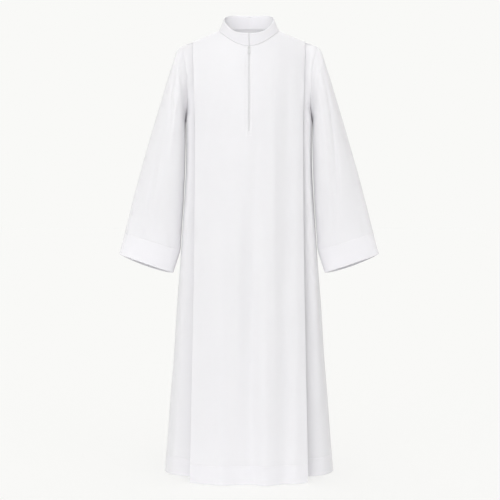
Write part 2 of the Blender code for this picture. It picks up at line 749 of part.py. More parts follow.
def main():
    """Clears the scene and builds the robe."""
    for old in list(bpy.data.objects):
        bpy.data.objects.remove(old, do_unlink=True)
    cloth = painted("white_cloth", (0.86, 0.86, 0.88), 0.85)
    tape = painted("zip_tape_white", (0.80, 0.80, 0.82), 0.7)
    enamel = painted("white_enamel", (0.78, 0.78, 0.79), 0.35)
    for face, kind in ((FRONT, "front"), (BACK, "back")):
        halves = build_panel(f"{kind}_panel", face, cloth)
        for mirror, half in halves.items():
            build_side(f"side_{kind}_{side_name(mirror)}", face, mirror, half[2], half[3], cloth)
            if face == FRONT:
                build_tape(f"zip_tape_{side_name(mirror)}", mirror, half, tape)
    for mirror in (1, -1):
        build_sleeve(f"sleeve_{side_name(mirror)}", mirror, cloth)
        build_collar(f"collar_{side_name(mirror)}", mirror, cloth)
    build_slider(enamel)
    build_pull(enamel)


main()
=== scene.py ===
"""Alb robe: the looks of the long white robe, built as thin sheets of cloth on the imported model.

Metres, +Z up. The front faces -Y and the wearer's left is +X. The origin is the centre of the neck. Every
piece of cloth is a grid of points worked out from two parameters with numpy, given a thickness, and closed.
"""

import logging
import math
from collections.abc import Callable
from dataclasses import dataclass, field
from enum import Enum, IntEnum

import bpy
import numpy as np
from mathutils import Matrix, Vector

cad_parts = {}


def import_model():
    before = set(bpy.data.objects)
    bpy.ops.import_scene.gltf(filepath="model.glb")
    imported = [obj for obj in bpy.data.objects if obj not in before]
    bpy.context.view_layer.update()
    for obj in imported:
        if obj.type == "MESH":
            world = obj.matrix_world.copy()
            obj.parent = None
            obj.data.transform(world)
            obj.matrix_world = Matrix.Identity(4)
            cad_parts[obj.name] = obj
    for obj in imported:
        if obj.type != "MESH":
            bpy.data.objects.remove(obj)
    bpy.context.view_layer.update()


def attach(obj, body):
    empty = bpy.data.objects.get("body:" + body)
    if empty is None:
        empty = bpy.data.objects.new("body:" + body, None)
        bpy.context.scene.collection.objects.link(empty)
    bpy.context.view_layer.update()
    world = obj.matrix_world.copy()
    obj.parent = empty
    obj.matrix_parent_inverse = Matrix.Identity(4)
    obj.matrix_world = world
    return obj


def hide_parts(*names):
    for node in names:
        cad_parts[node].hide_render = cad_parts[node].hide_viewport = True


LOG = logging.getLogger("alb_robe")
SEAM_GAP = 0.0003
SHARP_EDGE = math.radians(40)
SMALL_STEP = 1e-4
SMALLEST_LENGTH = 1e-12
SHADER = "Principled BSDF"
WAVE_TURN = 20  # radians that a Wave node turns for each unit of its scale and of its coordinate

Colour = tuple[float, float, float]
Path = tuple[np.ndarray, np.ndarray]  # a path's points, and the cloth's unit normals along it


class Face(IntEnum):
    """The robe's front and back, as the sign of y."""

    FRONT = -1
    BACK = 1

    @property
    def word(self) -> str:
        """The name used in nodes."""
        return self.name.lower()


class Side(IntEnum):
    """The wearer's sides, as the sign of x."""

    LEFT = 1
    RIGHT = -1

    @property
    def word(self) -> str:
        """The name used in nodes."""
        return self.name.lower()


class Body(Enum):
    """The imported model's moving bodies."""

    ROBE = "robe"
    PULL = "pull"


class Slot(Enum):
    """The record's material slots."""

    CLOTH = "cloth"
    TAPE = "zip_tape"
    ENAMEL = "zip_enamel"


@dataclass(frozen=True)
class Level:
    """The robe's section at one height: half the body's width, the panels' half width and depths, the
    pleat's depth, and how far the side piece swells, from 0 to 1."""

    z: float
    body_half_width: float
    panel_half_width: float
    front_centre: float
    front_edge: float
    back_centre: float
    back_edge: float
    pleat: float
    side_fullness: float


@dataclass(frozen=True)
class Fold:
    """A long soft fold that runs down a panel, deepest at the hem. Depth is negative for a trough."""

    start_z: float
    start_x: float
    hem_x: float
    depth: float
    half_width: float


@dataclass(frozen=True)
class Crease:
    """A soft crease of limited length: its middle, its two half sizes, its lean and its depth.

    u and v are the surface's own two coordinates; lean is the change of u for each unit of v.
    """

    u: float
    v: float
    half_width: float
    half_length: float
    lean: float
    depth: float


@dataclass(frozen=True)
class Ring:
    """A sleeve's section: its outer and inner ends (x, y, z), half its depth, and the fall of its back."""

    outer: tuple[float, float, float]
    inner: tuple[float, float, float]
    half_depth: float
    back_fall: float


@dataclass(frozen=True)
class Cut:
    """What a piece was cut to before sewing: the width and length of its rectangle, and its area."""

    width: float
    length: float
    area: float


def lerp(start: np.ndarray, end: np.ndarray, share: np.ndarray) -> np.ndarray:
    """The value a share of the way from start to end."""
    return start + (end - start) * share


def unit(vectors: np.ndarray) -> np.ndarray:
    """The vectors, each made one long."""
    return vectors / np.maximum(np.linalg.norm(vectors, axis=-1, keepdims=True), SMALLEST_LENGTH)


def smooth_share(low: float, high: float, value: np.ndarray) -> np.ndarray:
    """A soft step: 0 below low, 1 above high, and three squares less two cubes of the share between."""
    share = np.clip((value - low) / (high - low), 0, 1)
    return share * share * (3 - 2 * share)


def bell(distance: np.ndarray, half_width: float) -> np.ndarray:
    """A bell, 1 at distance 0: e to the power of minus the square of the distance over the half width."""
    return np.exp(-((distance / half_width) ** 2))


def run_along(path: np.ndarray) -> np.ndarray:
    """The distance run along a path at each of its points."""
    return np.concatenate([[0], np.cumsum(np.linalg.norm(np.diff(path, axis=0), axis=1))])


def on_side(side: int, *arrays: np.ndarray) -> tuple[np.ndarray, ...]:
    """Points or vectors that were worked out for +X, turned over for a side."""
    return tuple(array * (side, 1, 1) for array in arrays)


def creased(u: np.ndarray, v: np.ndarray, creases: tuple[Crease, ...]) -> np.ndarray:
    """The relief of some creases: each is a bell across its width times a bell along its length.

    Args:
        u: The first coordinate of each point.
        v: The second coordinate of each point.
        creases: The creases to add up.

    Returns:
        The height at each point, in metres.
    """
    relief = np.zeros(np.broadcast(u, v).shape)
    for crease in creases:
        along = (v - crease.v) / crease.half_length
        across = (u - crease.u - crease.lean * (v - crease.v)) / crease.half_width
        relief += crease.depth * np.exp(-(across**2) - along**4)
    return relief


def cubic_table(knots: np.ndarray, values: np.ndarray, slopes: np.ndarray, at: np.ndarray) -> np.ndarray:
    """A table read between its rows by the cubic that takes each row's value and slope.

    With t the share of the way between two rows a gap apart, it is (2t^3 - 3t^2 + 1) a + (3t^2 - 2t^3) b
    + gap (t^3 - 2t^2 + t) slope_a + gap (t^3 - t^2) slope_b.

    Args:
        knots: The rows' places, growing.
        values: The rows, as (count, width).
        slopes: The rows' slopes, as (count, width).
        at: Where to read. Past the ends the end rows hold.

    Returns:
        An array of at's shape with one more axis, the table's width.
    """
    at = np.clip(at, knots[0], knots[-1])
    low = np.clip(np.searchsorted(knots, at, side="right") - 1, 0, len(knots) - 2)
    gap = (knots[low + 1] - knots[low])[..., None]
    t = (at - knots[low])[..., None] / gap
    rise = (2 * t**3 - 3 * t**2 + 1) * values[low] + (3 * t**2 - 2 * t**3) * values[low + 1]
    return rise + gap * ((t**3 - 2 * t**2 + t) * slopes[low] + (t**3 - t**2) * slopes[low + 1])


def lifted(
    surface: Callable[[np.ndarray, np.ndarray], np.ndarray], u: np.ndarray, v: np.ndarray, sign: float
) -> Path:
    """A path on a surface, with its unit normals from the cross product of two small steps.

    Args:
        surface: Gives the point at (u, v).
        u: The path's first coordinate.
        v: Its second.
        sign: 1 or -1, which turns the normals out.

    Returns:
        The points and the normals.
    """
    points = surface(u, v)
    normals = np.cross(surface(u + SMALL_STEP, v) - points, surface(u, v + SMALL_STEP) - points)
    return points, unit(normals * sign)


def grid_normals(points: np.ndarray, sign: float, closed: bool = False) -> np.ndarray:
    """Unit normals of a grid, from the cross product of its row and column directions.

    Args:
        points: The grid as (rows, columns, 3).
        sign: 1 or -1, which turns the normals out.
        closed: True where the last column joins the first.

    Returns:
        One unit vector for each point.
    """
    if closed:
        across = np.roll(points, -1, axis=1) - np.roll(points, 1, axis=1)
    else:
        across = np.gradient(points, axis=1)
    return unit(np.cross(across, np.gradient(points, axis=0)) * sign)


class RobeForm:
    """The robe's sizes and the surfaces that follow from them."""

    UNDERARM_Z = -0.285
    ZIP_END_Z = -0.327
    HEM_STITCH_Z = -1.345
    HEM_Z = -1.400
    CLOTH = 0.0012
    HEM_CLOTH = 0.0022
    NECK_HALF_WIDTH = 0.092
    NECK_FRONT_DROP = 0.060
    NECK_FRONT_POWER = 4.1
    NECK_BACK_RISE = 0.018
    NECK_BACK_POWER = 4
    SHOULDER_SLOPE = 0.40
    NECK_DOME = 0.01978
    SHOULDER_X = 0.213
    BACK_NECK_DOME = 0.05
    CHEST_POWERS = {Face.FRONT: 0.43, Face.BACK: 0.39}
    SHOULDER_POWER = 0.72
    POWER_SPREAD = 1.5
    RIDGE_NECK_Y = -0.013
    RIDGE_SHOULDER_Y = -0.005
    PANEL_TOP_HALF_WIDTH = 0.177
    NECK_SHARE = 2 / 3
    ARMHOLE_DEPTH = 0.045
    ARMHOLE_POWER = 0.55
    ARMHOLE_BOW = 0.013
    PLEAT_LAP = 0.016
    PLEAT_TOP = 0.0046
    PLEAT_GROWTH = 0.8
    PLEAT_SHORTEST = 0.0005
    FOLD_SPACE = 0.00035
    CORNER_RADIUS = 0.0005
    LIP = 0.006
    ROUND_POWER = 3
    PANEL_ROUNDNESS = 2.3
    FOLD_EDGE_POWER = 6
    SLIT_HALF_WIDTHS = ((0.060, 0.068, 0.088), (0.0020, 0.0016, 0.0010))
    PLACKET_HEIGHT = 0.00022
    PLACKET_INNER = (0.0038, 0.0058)
    PLACKET_OUTER = (0.0098, 0.0116)
    PLACKET_END = (-0.3440, -0.3415)
    PLACKET_DOUBLE = 0.5
    SLIT_TAIL = 0.002
    SIDE_SWELL = (0.11, 0.20)
    SEAM_SINK = 0.0003
    SEAM_SINK_WIDTH = 0.0028
    LEVELS = (
        Level(-0.285, 0.1990, 0.1675, 0.126, 0.073, 0.118, 0.070, 0.0180, 1.0),
        Level(-0.440, 0.2000, 0.1675, 0.135, 0.085, 0.122, 0.078, 0.0265, 1.0),
        Level(-0.558, 0.2065, 0.1680, 0.142, 0.094, 0.127, 0.086, 0.0325, 1.0),
        Level(-0.650, 0.2128, 0.1685, 0.147, 0.101, 0.132, 0.092, 0.0375, 0.9),
        Level(-0.753, 0.2205, 0.1695, 0.154, 0.110, 0.138, 0.099, 0.0430, 0.7),
        Level(-0.861, 0.2296, 0.1710, 0.161, 0.119, 0.146, 0.108, 0.0485, 0.45),
        Level(-1.055, 0.2423, 0.1740, 0.176, 0.135, 0.162, 0.124, 0.0585, 0.2),
        Level(-1.138, 0.2497, 0.1755, 0.182, 0.142, 0.169, 0.131, 0.0630, 0.1),
        Level(-1.275, 0.2600, 0.1780, 0.191, 0.153, 0.180, 0.143, 0.0700, 0.0),
        Level(-1.400, 0.2700, 0.1800, 0.200, 0.1625, 0.190, 0.153, 0.0765, 0.0),
    )
    FOLDS = {
        Face.FRONT: (
            Fold(-0.36, 0.019, -0.036, -0.0090, 0.028),
            Fold(-0.14, 0.103, 0.103, -0.0080, 0.022),
            Fold(-0.60, -0.098, -0.089, 0.0045, 0.026),
            Fold(-0.50, 0.052, 0.047, 0.0050, 0.024),
        ),
        Face.BACK: (
            Fold(-0.20, -0.030, -0.078, -0.0085, 0.026),
            Fold(-0.32, 0.052, 0.070, -0.0090, 0.028),
            Fold(-0.46, 0.004, -0.006, 0.0060, 0.030),
        ),
    }
    PANEL_CREASES = {
        Face.FRONT: (
            Crease(0.1230, -0.42, 0.020, 0.30, -0.02, -0.0050),
            Crease(0.0760, -0.75, 0.015, 0.55, 0.0, 0.0026),
            Crease(0.1220, -1.05, 0.020, 0.50, 0.0, -0.0050),
            Crease(0.0090, -1.10, 0.026, 0.46, 0.0, -0.0160),
            Crease(0.1226, -0.0196, 0.0060, 0.018, -1.385, -0.0022),
            Crease(0.1130, -0.0360, 0.0070, 0.020, -1.2, -0.0012),
            Crease(-0.1200, -0.0300, 0.0080, 0.020, 1.3, -0.0010),
            Crease(-0.058, -0.95, 0.018, 0.35, 0.01, -0.0018),
            Crease(-0.140, -0.60, 0.012, 0.40, 0.0, -0.0012),
            Crease(0.072, -1.05, 0.015, 0.30, -0.01, -0.0018),
            Crease(0.150, -0.75, 0.009, 0.40, 0.0, 0.0012),
            Crease(0.022, -0.42, 0.014, 0.11, 0.06, -0.0016),
        ),
        Face.BACK: (
            Crease(0.000, -0.13, 0.085, 0.020, 0.0, -0.0016),
            Crease(-0.095, -0.45, 0.020, 0.28, 0.0, -0.0028),
            Crease(0.112, -0.60, 0.022, 0.30, 0.0, -0.0034),
            Crease(0.018, -0.85, 0.018, 0.35, 0.02, -0.0024),
            Crease(0.118, -0.030, 0.0070, 0.020, -1.3, -0.0014),
            Crease(-0.122, -0.026, 0.0060, 0.018, 1.4, -0.0020),
            Crease(-0.130, -1.00, 0.014, 0.30, 0.0, 0.0014),
        ),
    }

    @classmethod
    def at_level(cls, name: str, z: np.ndarray) -> np.ndarray:
        """A column of LEVELS at height z, as a cubic. All but the pleat's start level at the underarm.

        Args:
            name: The column's name.
            z: Heights.

        Returns:
            The value at each height.
        """
        down = np.array([-level.z for level in cls.LEVELS])
        values = np.array([getattr(level, name) for level in cls.LEVELS])
        slopes = np.gradient(values, down)
        if name != "pleat":
            slopes[0] = 0
        return cubic_table(down, values[:, None], slopes[:, None], -np.asarray(z, float))[..., 0]

    @classmethod
    def ridge_height(cls, x: np.ndarray, face: Face) -> np.ndarray:
        """The shoulder line over x: a straight slope outside the neck, and a smooth dome inside it.

        Args:
            x: Distances from the centre line.
            face: Front or back.

        Returns:
            The height at each distance.
        """
        distance = np.abs(x)
        straight = cls.SHOULDER_SLOPE * (cls.NECK_HALF_WIDTH - distance)
        inside = np.clip(1 - (distance / cls.NECK_HALF_WIDTH) ** 2, 0, 1)
        dome = cls.NECK_DOME * inside
        if face == Face.BACK:
            dome = dome + cls.BACK_NECK_DOME * inside**2
        return np.where(distance < cls.NECK_HALF_WIDTH, dome, straight)

    @classmethod
    def ridge_y(cls, x: np.ndarray) -> np.ndarray:
        """The shoulder seam's place from front to back, straight from the neck to the shoulder point."""
        share = np.clip((np.abs(x) - cls.NECK_HALF_WIDTH) / (cls.SHOULDER_X - cls.NECK_HALF_WIDTH), 0, 1)
        return lerp(cls.RIDGE_NECK_Y, cls.RIDGE_SHOULDER_Y, share)

    @classmethod
    def fold_relief(cls, x: np.ndarray, z: np.ndarray, face: Face) -> np.ndarray:
        """The panel's folds and creases.

        A fold is a bell across that grows as a quarter sine to the hem. All of them end at the panel's edge.

        Args:
            x: Distance from the centre line, with the side's sign.
            z: Height.
            face: Front or back.

        Returns:
            The height at each point.
        """
        relief = creased(x, z, cls.PANEL_CREASES[face])
        for fold in cls.FOLDS[face]:
            share = np.clip((fold.start_z - z) / (fold.start_z - cls.HEM_Z), 0, 1)
            middle = lerp(fold.start_x, fold.hem_x, share)
            relief += fold.depth * np.sin(share * np.pi / 2) * bell(x - middle, fold.half_width)
        across = np.clip(np.abs(x) / cls.at_level("panel_half_width", z), 0, 1)
        return relief * (1 - across**cls.FOLD_EDGE_POWER)

    @classmethod
    def placket(cls, x: np.ndarray, z: np.ndarray) -> np.ndarray:
        """How much the turned-in cloth beside the zip stands up: a strip with two soft sides, 0 to 1."""
        distance = np.abs(x)
        strip = smooth_share(*cls.PLACKET_INNER, distance) * (1 - smooth_share(*cls.PLACKET_OUTER, distance))
        return strip * smooth_share(*cls.PLACKET_END, z)

    @classmethod
    def panel_y(cls, x: np.ndarray, z: np.ndarray, face: Face) -> np.ndarray:
        """A panel's surface.

        Its depth is the centre's less a power of the share across. Above the underarm it rises from the
        shoulder line as a power of a quarter sine of the share of the way down.

        Args:
            x: Distance from the centre line, with the side's sign.
            z: Height.
            face: Front or back.

        Returns:
            The y of each point.
        """
        ridge = cls.ridge_height(x, face)
        below = np.clip((ridge - z) / (ridge - cls.UNDERARM_Z), 0, 1)
        spread = np.clip(np.abs(x) / cls.PANEL_TOP_HALF_WIDTH, 0, 1) ** cls.POWER_SPREAD
        power = lerp(cls.CHEST_POWERS[face], cls.SHOULDER_POWER, spread)
        centre = cls.at_level(face.word + "_centre", z)
        edge = cls.at_level(face.word + "_edge", z)
        across = np.abs(x) / cls.at_level("panel_half_width", z)
        depth = centre - (centre - edge) * across**cls.PANEL_ROUNDNESS
        out = face * (depth + cls.fold_relief(x, z, face))
        return lerp(cls.ridge_y(x), out, np.sin(below * np.pi / 2) ** power)

    @classmethod
    def neck_height(cls, angle: np.ndarray) -> np.ndarray:
        """The neck seam's height at an angle round the neck, 0 at the centre front."""
        front = (1 + np.cos(angle)) / 2
        rise = cls.NECK_BACK_RISE * (1 - front) ** cls.NECK_BACK_POWER
        return rise - cls.NECK_FRONT_DROP * front**cls.NECK_FRONT_POWER

    @classmethod
    def neck_point(cls, angle: np.ndarray) -> np.ndarray:
        """Points of the neck seam, which lies on the panels' own surface.

        Args:
            angle: Angles round the neck, 0 at the centre front.

        Returns:
            The points.
        """
        x = cls.NECK_HALF_WIDTH * np.sin(angle)
        z = cls.neck_height(angle)
        front, back = cls.panel_y(x, z, Face.FRONT), cls.panel_y(x, z, Face.BACK)
        return np.stack([x, np.where(np.cos(angle) > 0, front, back), z], axis=-1)

    @classmethod
    def slit_half_width(cls, z: np.ndarray) -> np.ndarray:
        """Half the zip's gap: widest at the neck, narrow below the slider."""
        return np.interp(-z, *cls.SLIT_HALF_WIDTHS)

    @classmethod
    def armhole_point(cls, share: np.ndarray, face: Face) -> np.ndarray:
        """Points of the armhole seam, from the shoulder (0) down to the underarm (1).

        Args:
            share: The share of the way down.
            face: Front or back.

        Returns:
            The points, on the side of +X.
        """
        x = lerp(cls.SHOULDER_X, cls.at_level("body_half_width", cls.UNDERARM_Z), share)
        x = x - cls.ARMHOLE_BOW * np.sin(np.pi * share)
        depth = cls.ARMHOLE_DEPTH * np.sin(np.pi * share) ** cls.ARMHOLE_POWER
        y = lerp(cls.RIDGE_SHOULDER_Y, 0, share) + face * depth
        top = cls.SHOULDER_SLOPE * (cls.NECK_HALF_WIDTH - cls.SHOULDER_X)
        return np.stack([x, y, lerp(top, cls.UNDERARM_Z, share)], axis=-1)


@dataclass(frozen=True)
class ClothGrid:
    """A grid of cloth: the points and normals of one face, the thickness in each row, and where it is double.

    The other face lies behind, against the normals. A piece with painted light on its own face takes the
    double colour on the grid's own face and its edges alone, and the face behind keeps the plain colour: this
    is how the collar's inside and edges are painted light.
    which is its lining.
    """

    points: np.ndarray
    normals: np.ndarray
    thickness: np.ndarray
    double: np.ndarray
    closed: bool = False
    painted_light_own_face: bool = False

    def weave(self, anchor: int) -> np.ndarray:
        """The cloth's own coordinates in metres: the distance run along each row and down each column.

        Args:
            anchor: The column whose first coordinate is 0.

        Returns:
            An array (rows, columns, 2), with one more column where the grid is closed.
        """
        points = self.points
        if self.closed:
            points = np.concatenate([points, points[:, :1]], axis=1)
        across = np.linalg.norm(np.diff(points, axis=1), axis=-1)
        down = np.linalg.norm(np.diff(points, axis=0), axis=-1)
        u = np.concatenate([np.zeros((len(points), 1)), np.cumsum(across, axis=1)], axis=1)
        v = np.concatenate([np.zeros((1, points.shape[1])), np.cumsum(down, axis=0)], axis=0)
        return np.stack([u - u[:, anchor : anchor + 1], v], axis=-1)


class MeshWriter:
    """Turns grids and arrays of corners into mesh objects at the origin."""

    WEAVE_MAP = "weave"
    DOUBLE_OR_LIT_MAP = "double_cloth"

    @staticmethod
    def tube_quads(stations: int, around: int, ring: bool = False) -> np.ndarray:
        """Quads of a tube whose corners are numbered station by station.

        Args:
            stations: How many loops it has.
            around: How many corners each loop has, an even number.
            ring: True where the last loop joins the first. Else a strip of quads closes each end.

        Returns:
            Corner numbers as (count, 4).
        """
        starts = np.arange(stations if ring else stations - 1)
        station, turn = np.meshgrid(starts, np.arange(around), indexing="ij")
        here, there, after = station * around, (station + 1) % stations * around, (turn + 1) % around
        sides = np.stack([here + turn, here + after, there + after, there + turn], axis=-1).reshape(-1, 4)
        if ring:
            return sides
        strip = np.arange(around // 2 - 1)
        cap = np.stack([strip, strip + 1, around - 2 - strip, around - 1 - strip], axis=-1)
        return np.concatenate([sides, cap[:, ::-1], cap + (stations - 1) * around])

    @staticmethod
    def cells(row: np.ndarray, column: np.ndarray, after: np.ndarray, width: int) -> np.ndarray:
        """The numbers of each cell's corners, in this row and the next, this column and the one after."""
        here, below = row * width, (row + 1) * width
        return np.stack([here + column, below + column, below + after, here + after], axis=-1)

    @staticmethod
    def rim(quads: np.ndarray, marks: np.ndarray, count: int) -> tuple[np.ndarray, np.ndarray]:
        """The open edges, which are those that no other quad runs along the other way.

        Args:
            quads: Corner numbers as (quads, 4).
            marks: The numbers of the same corners' map coordinates.
            count: How many corners there are.

        Returns:
            The edges as pairs of corner numbers, and as pairs of map coordinates' numbers.
        """
        edges, pairs = (
            np.concatenate([part[:, [i, (i + 1) % 4]] for i in range(4)]) for part in (quads, marks)
        )
        single = ~np.isin(edges[:, 0] * count + edges[:, 1], edges[:, 1] * count + edges[:, 0])
        return edges[single], pairs[single]

    @staticmethod
    def signed_volume(corners: np.ndarray, quads: np.ndarray) -> float:
        """The volume inside some quads: a sixth of the sum of each triangle's triple product."""
        total = 0.0
        for first, second, third in ((0, 1, 2), (0, 2, 3)):
            a, b, c = (corners[quads[:, i]] for i in (first, second, third))
            total += float(np.einsum("ij,ij->i", a, np.cross(b, c)).sum())
        return total / 6

    @classmethod
    def quad_object(
        cls,
        name: str,
        corners: np.ndarray,
        quads: np.ndarray,
        weave: np.ndarray | None = None,
        double: np.ndarray | None = None,
    ) -> bpy.types.Object:
        """A smooth mesh object from quads.

        Args:
            name: The object's name.
            corners: Points as (count, 3).
            quads: Corner numbers as (count, 4).
            weave: A map coordinate for each corner of each quad, or None.
            double: Where the cloth is double, or painted light as on the collar's inside, 0 to 1 for each
                point, or None.

        Returns:
            The new object, linked to the scene.
        """
        if cls.signed_volume(corners, quads) < 0:
            quads = quads[:, ::-1]
            weave = None if weave is None else weave[:, ::-1]
        mesh = bpy.data.meshes.new(name)
        mesh.vertices.add(len(corners))
        mesh.vertices.foreach_set("co", np.ascontiguousarray(corners, np.float32).ravel())
        mesh.loops.add(quads.size)
        mesh.loops.foreach_set("vertex_index", np.ascontiguousarray(quads, np.int32).ravel())
        mesh.polygons.add(len(quads))
        mesh.polygons.foreach_set("loop_start", np.arange(0, quads.size, 4, dtype=np.int32))
        mesh.update(calc_edges=True)
        if weave is not None:
            layer = mesh.uv_layers.new(name=cls.WEAVE_MAP)
            layer.data.foreach_set("uv", np.ascontiguousarray(weave, np.float32).ravel())
        if double is not None:
            double_or_lit = mesh.attributes.new(cls.DOUBLE_OR_LIT_MAP, "FLOAT", "POINT")
            double_or_lit.data.foreach_set("value", np.ascontiguousarray(double, np.float32))
        mesh.validate()
        mesh.shade_smooth()
        mesh.set_sharp_from_angle(angle=SHARP_EDGE)
        made = bpy.data.objects.new(name, mesh)
        bpy.context.scene.collection.objects.link(made)
        return made

    @classmethod
    def cloth_object(
        cls, name: str, grid: ClothGrid, anchor: int = 0, kept: np.ndarray | None = None
    ) -> bpy.types.Object:
        """A closed sheet of cloth from a grid.

        The second layer is the grid's own, moved back along its normals by the thickness. Round every open
        edge runs a row of points half way between the layers, moved out by half the thickness.

        Args:
            name: The object's name.
            grid: The cloth.
            anchor: The column where the weave's first coordinate is 0.
            kept: A mask of the grid's cells, False where the sheet is open, or None.

        Returns:
            The new object.
        """
        rows, columns = grid.points.shape[:2]
        count = rows * columns
        across = columns if grid.closed else columns - 1
        row, column = np.meshgrid(np.arange(rows - 1), np.arange(across), indexing="ij")
        quads = cls.cells(row, column, (column + 1) % columns, columns)
        marks = cls.cells(row, column, column + 1, across + 1)
        if kept is None:
            kept = np.ones(quads.shape[:2], bool)
        quads, marks = quads[kept], marks[kept]
        outer = grid.points.reshape(-1, 3)
        normals = grid.normals.reshape(-1, 3)
        first, second, third, fourth = (outer[quads[:, i]] for i in range(4))
        if np.einsum("ij,ij->", np.cross(third - first, fourth - second), normals[quads[:, 0]]) < 0:
            quads, marks = quads[:, ::-1], marks[:, ::-1]
        rim, rim_marks = cls.rim(quads, marks, count)
        away = np.zeros((count, 3))
        side = unit(np.cross(outer[rim[:, 1]] - outer[rim[:, 0]], normals[rim[:, 0]]))
        np.add.at(away, rim[:, 0], side)
        np.add.at(away, rim[:, 1], side)
        thick = np.repeat(grid.thickness, columns)[:, None]
        inner = outer - normals * thick
        used = np.unique(rim)
        middle = (outer + inner)[used] / 2 + unit(away[used]) * thick[used] / 2
        place = np.zeros(count, int)
        place[used] = 2 * count + np.arange(len(used))
        start, end = rim[:, 0], rim[:, 1]
        faces = np.concatenate(
            [
                quads,
                quads[:, ::-1] + count,
                np.stack([end, start, place[start], place[end]], axis=-1),
                np.stack([place[end], place[start], start + count, end + count], axis=-1),
            ]
        )
        rim_map = rim_marks[:, [1, 0, 0, 1]]
        face_marks = np.concatenate([marks, marks[:, ::-1], rim_map, rim_map])
        weave = grid.weave(anchor).reshape(-1, 2)[face_marks]
        corners = np.concatenate([outer, inner, middle])
        live = np.unique(faces)
        renumber = np.zeros(len(corners), int)
        renumber[live] = np.arange(len(live))
        double = np.broadcast_to(grid.double, (rows, columns)).ravel()
        # Where only the grid's own face is painted light, the face behind gets none of the double colour; the
        # edges take it, a painted highlight along the collar's edges.
        double = np.concatenate([double, double * (not grid.painted_light_own_face), double[used]])[live]
        return cls.quad_object(name, corners[live], renumber[faces], weave, double)


@dataclass
class HalfPanel:
    """One half of a panel: its grid, and where the side piece starts from it."""

    points: np.ndarray
    normals: np.ndarray
    double: np.ndarray
    corner: np.ndarray
    lip_normal: np.ndarray


